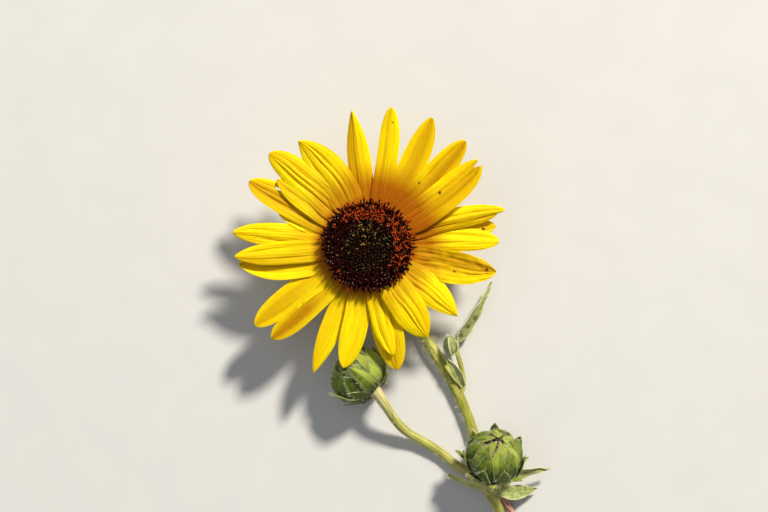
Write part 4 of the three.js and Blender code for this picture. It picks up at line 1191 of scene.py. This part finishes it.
for number, petal in enumerate(RAYS, 1):
    angle, swing, reach, width, arch, tip, layer, blunt, crown, crest, lean, strength, gold = petal
    dice = random.Random(500 + number)
    swing = math.radians(swing)
    ends = [
        Vector((RING_RADIUS, 0, 0)), Vector((blend(RING_RADIUS, reach, 0.55), 0, arch)),
        Vector((reach * math.cos(swing), reach * math.sin(swing), tip)),
    ]
    stand = Matrix.Rotation(math.radians(angle), 3, "Z")
    steps = [k / 40 for k in range(41)]
    curve = [ends[0] * (1 - u) ** 2 + ends[1] * 2 * u * (1 - u) + ends[2] * u * u for u in steps]
    line = evenly([spot(0, 0, HEAD_HEIGHT + layer * LAYER_STEP) + stand @ p * MM for p in curve], 60)
    ray_length = sum((b - a).length for a, b in zip(line, line[1:])) / MM
    valleys = sorted([dice.uniform(-0.48, -0.22), dice.uniform(0.22, 0.48)] + [dice.uniform(-0.05, 0.05)] * (width > 9.5))
    ripples, phase = dice.choice((7.5, 8.5, 9.5)), dice.uniform(0, 6)
    waves = dice.uniform(0.8, 1.6)
    notches = NOTCHES.get(number, [(dice.uniform(-0.5, 0.5), dice.uniform(0.2, 0.6), 0.25)])
    seed_point = Vector((number * 7.3, 0, 0))

    def valley_at(t, s):
        "How deep in a valley a place is, from 0 to 1."
        run = ramp(t, 0.04, 0.25) * (1 - 0.85 * ramp(t, 0.8, 1))
        run *= min(1.0, 0.75 + 0.9 * noise.noise(Vector((t * 4, s * 1.3, 4)) + seed_point))
        drift = 0.16 * noise.noise(Vector((t * 2.5, 0, 9)) + seed_point)
        return run * (1 - lobe_at(s + drift, valleys))

    def shape(t, s):
        run = ramp(t, 0.04, 0.25) * (1 - 0.6 * ramp(t, 0.88, 1))
        fine = run * math.cos(ripples * s * 3.1 + phase + 1.5 * noise.noise(Vector((t * 3, s, 2)) + seed_point))
        off = -LOBE_HEIGHT * strength * valley_at(t, s) + 0.05 * fine
        off -= crown * (math.hypot(s - crest, 0.25) - 0.5) * ramp(t, 0.08, 0.5) * (1 - 0.4 * ramp(t, 0.8, 1))
        off += 0.25 * abs(s) ** 3 * run * math.sin(waves * math.tau * t + phase)
        off += WRINKLED.get(number, 0.05) * run * noise.noise(Vector((t * 14, s * 2.2, 0)) + seed_point)
        along = -sum(depth * math.exp(-(((s - at) / wide) ** 2)) for at, depth, wide in notches) * ramp(t, 0.76, 1) ** 2
        return along, 0, off

    piece = blade(
        f"ray_petal_{number:02d}", line, ray_half_width(width, blunt), shape, columns=44, rows=78,
        roll=lambda t: blend(*lean, t) * ramp(t, 0, 0.3),
    )
    # Painted shade in the valleys.
    marked(piece, "groove", lambda u, s: min(1, strength) * 0.6 * valley_at(1 - max(0.0, 1 - u) ** 1.4, s) ** 2)
    # Painted shade: the darker gold is laid where each petal lies in shade.
    painted_shade_depth, painted_shade_place = gold
    marked(piece, "gold", lambda u, s: painted_shade_depth * ramp(u, 0.05, 0.4) * math.exp(-((s - painted_shade_place) / 0.75) ** 2))
    # Painted shade over the root's own orange: the amber's depth follows the petal's angle, with a ring of it next to
    # the disc.
    root_orange_and_shade_depth = 0.66 + 0.42 * math.cos(math.radians(angle - 50))
    foot_orange_and_shade = 0.3 if number in (23, 24) else 1.0

    def root_orange_and_shade_at(u, s):
        deep, shallow = ramp(u, 0.15, 0.45), ramp(u, 0.06, 0.24)
        return max(root_orange_and_shade_depth * (1 - deep**2 * (3 - 2 * deep)), foot_orange_and_shade * (1 - shallow**2 * (3 - 2 * shallow)))

    marked(piece, "root", root_orange_and_shade_at)

    def brown_at(u, s):
        t, most = 1 - max(0.0, 1 - u) ** 1.4, 0.0
        for at, side, radius in SPOTS.get(number, []):
            away = math.hypot((t - at) * ray_length, (s - side) * ray_half_width(width, blunt)(t))
            most = max(most, 1 - ramp(away, radius * 0.5, radius * 1.1))
        return most

    marked(piece, "brown", brown_at)
    if number in EATEN:
        only(piece)
        bpy.ops.object.mode_set(mode="EDIT")
        bpy.ops.mesh.select_mode(type="FACE")
        bpy.ops.mesh.select_all(action="DESELECT")
        bpy.ops.object.mode_set(mode="OBJECT")
        for polygon in piece.data.polygons:
            polygon.select = EATEN[number]((polygon.center - UNDER_FLOWER) / MM)
        bpy.ops.object.mode_set(mode="EDIT")
        bpy.ops.mesh.delete(type="FACE")
        bpy.ops.object.mode_set(mode="OBJECT")
    thickened(piece, RAY_THICKNESS)
    painted(piece, ray_skin)
    kept(piece, "petal", f"petal_{number:02d}")


# The studio: a pale matt floor, a broad lamp up to the right where the sun stood, and two soft fills.
bpy.ops.object.select_all(action="DESELECT")
bpy.ops.mesh.primitive_plane_add(size=8, location=(0, 0, 0))
table_top = named("pale_floor")
paper, shader = new_finish("pale_matt_paper", Roughness=0.9)
tissue = add_node(paper, "TexCoord")
tooth = add_node(paper, "TexNoise", inputs={"Vector": tissue.outputs["Object"], "Scale": 60.0, "Detail": 3.0})
tones = add_node(paper, "ValToRGB", {"stops": [(0.3, "#cfd0d1"), (0.7, "#d2d3d3")]}, {"Fac": tooth.outputs["Fac"]})
paper.node_tree.links.new(tones.outputs[0], shader.inputs["Base Color"])
painted(table_top, paper)


def lamp(name, place, size, power, tint):
    bpy.ops.object.light_add(type="AREA", location=spot(*place))
    made = named(name)
    made.data.shape = "DISK"
    made.data.size = size
    made.data.energy = power
    made.data.color = colour(tint)[:3]
    made.rotation_euler = (spot(0, -20, 15) - made.location).to_track_quat("-Z", "Y").to_euler()


lamp("key_light", (1100, 1770, 1920), 0.42, 122, "#fff6e6")
lamp("overhead_fill", (-600, 200, 1800), 1.8, 6.0, "#f4f6fa")
lamp("low_fill", (-1000, -1400, 900), 1.6, 3.2, "#f8f6fa")
world = bpy.data.worlds.new("studio")
world.use_nodes = True
world.node_tree.nodes["Background"].inputs["Color"].default_value = colour("#eceef2")
world.node_tree.nodes["Background"].inputs["Strength"].default_value = 0.18
bpy.context.scene.world = world
bpy.context.scene.view_settings.view_transform = "Standard"

CAMERA_HEIGHT = 735.1  # mm above the table: a long lens, looking straight down
bpy.ops.object.camera_add(location=spot(5.333, -3.333, CAMERA_HEIGHT), rotation=(0, 0, 0))
camera = named("camera")
camera.data.lens, camera.data.sensor_width = 100, 36
camera.data.clip_start = 0.01
bpy.context.scene.camera = camera
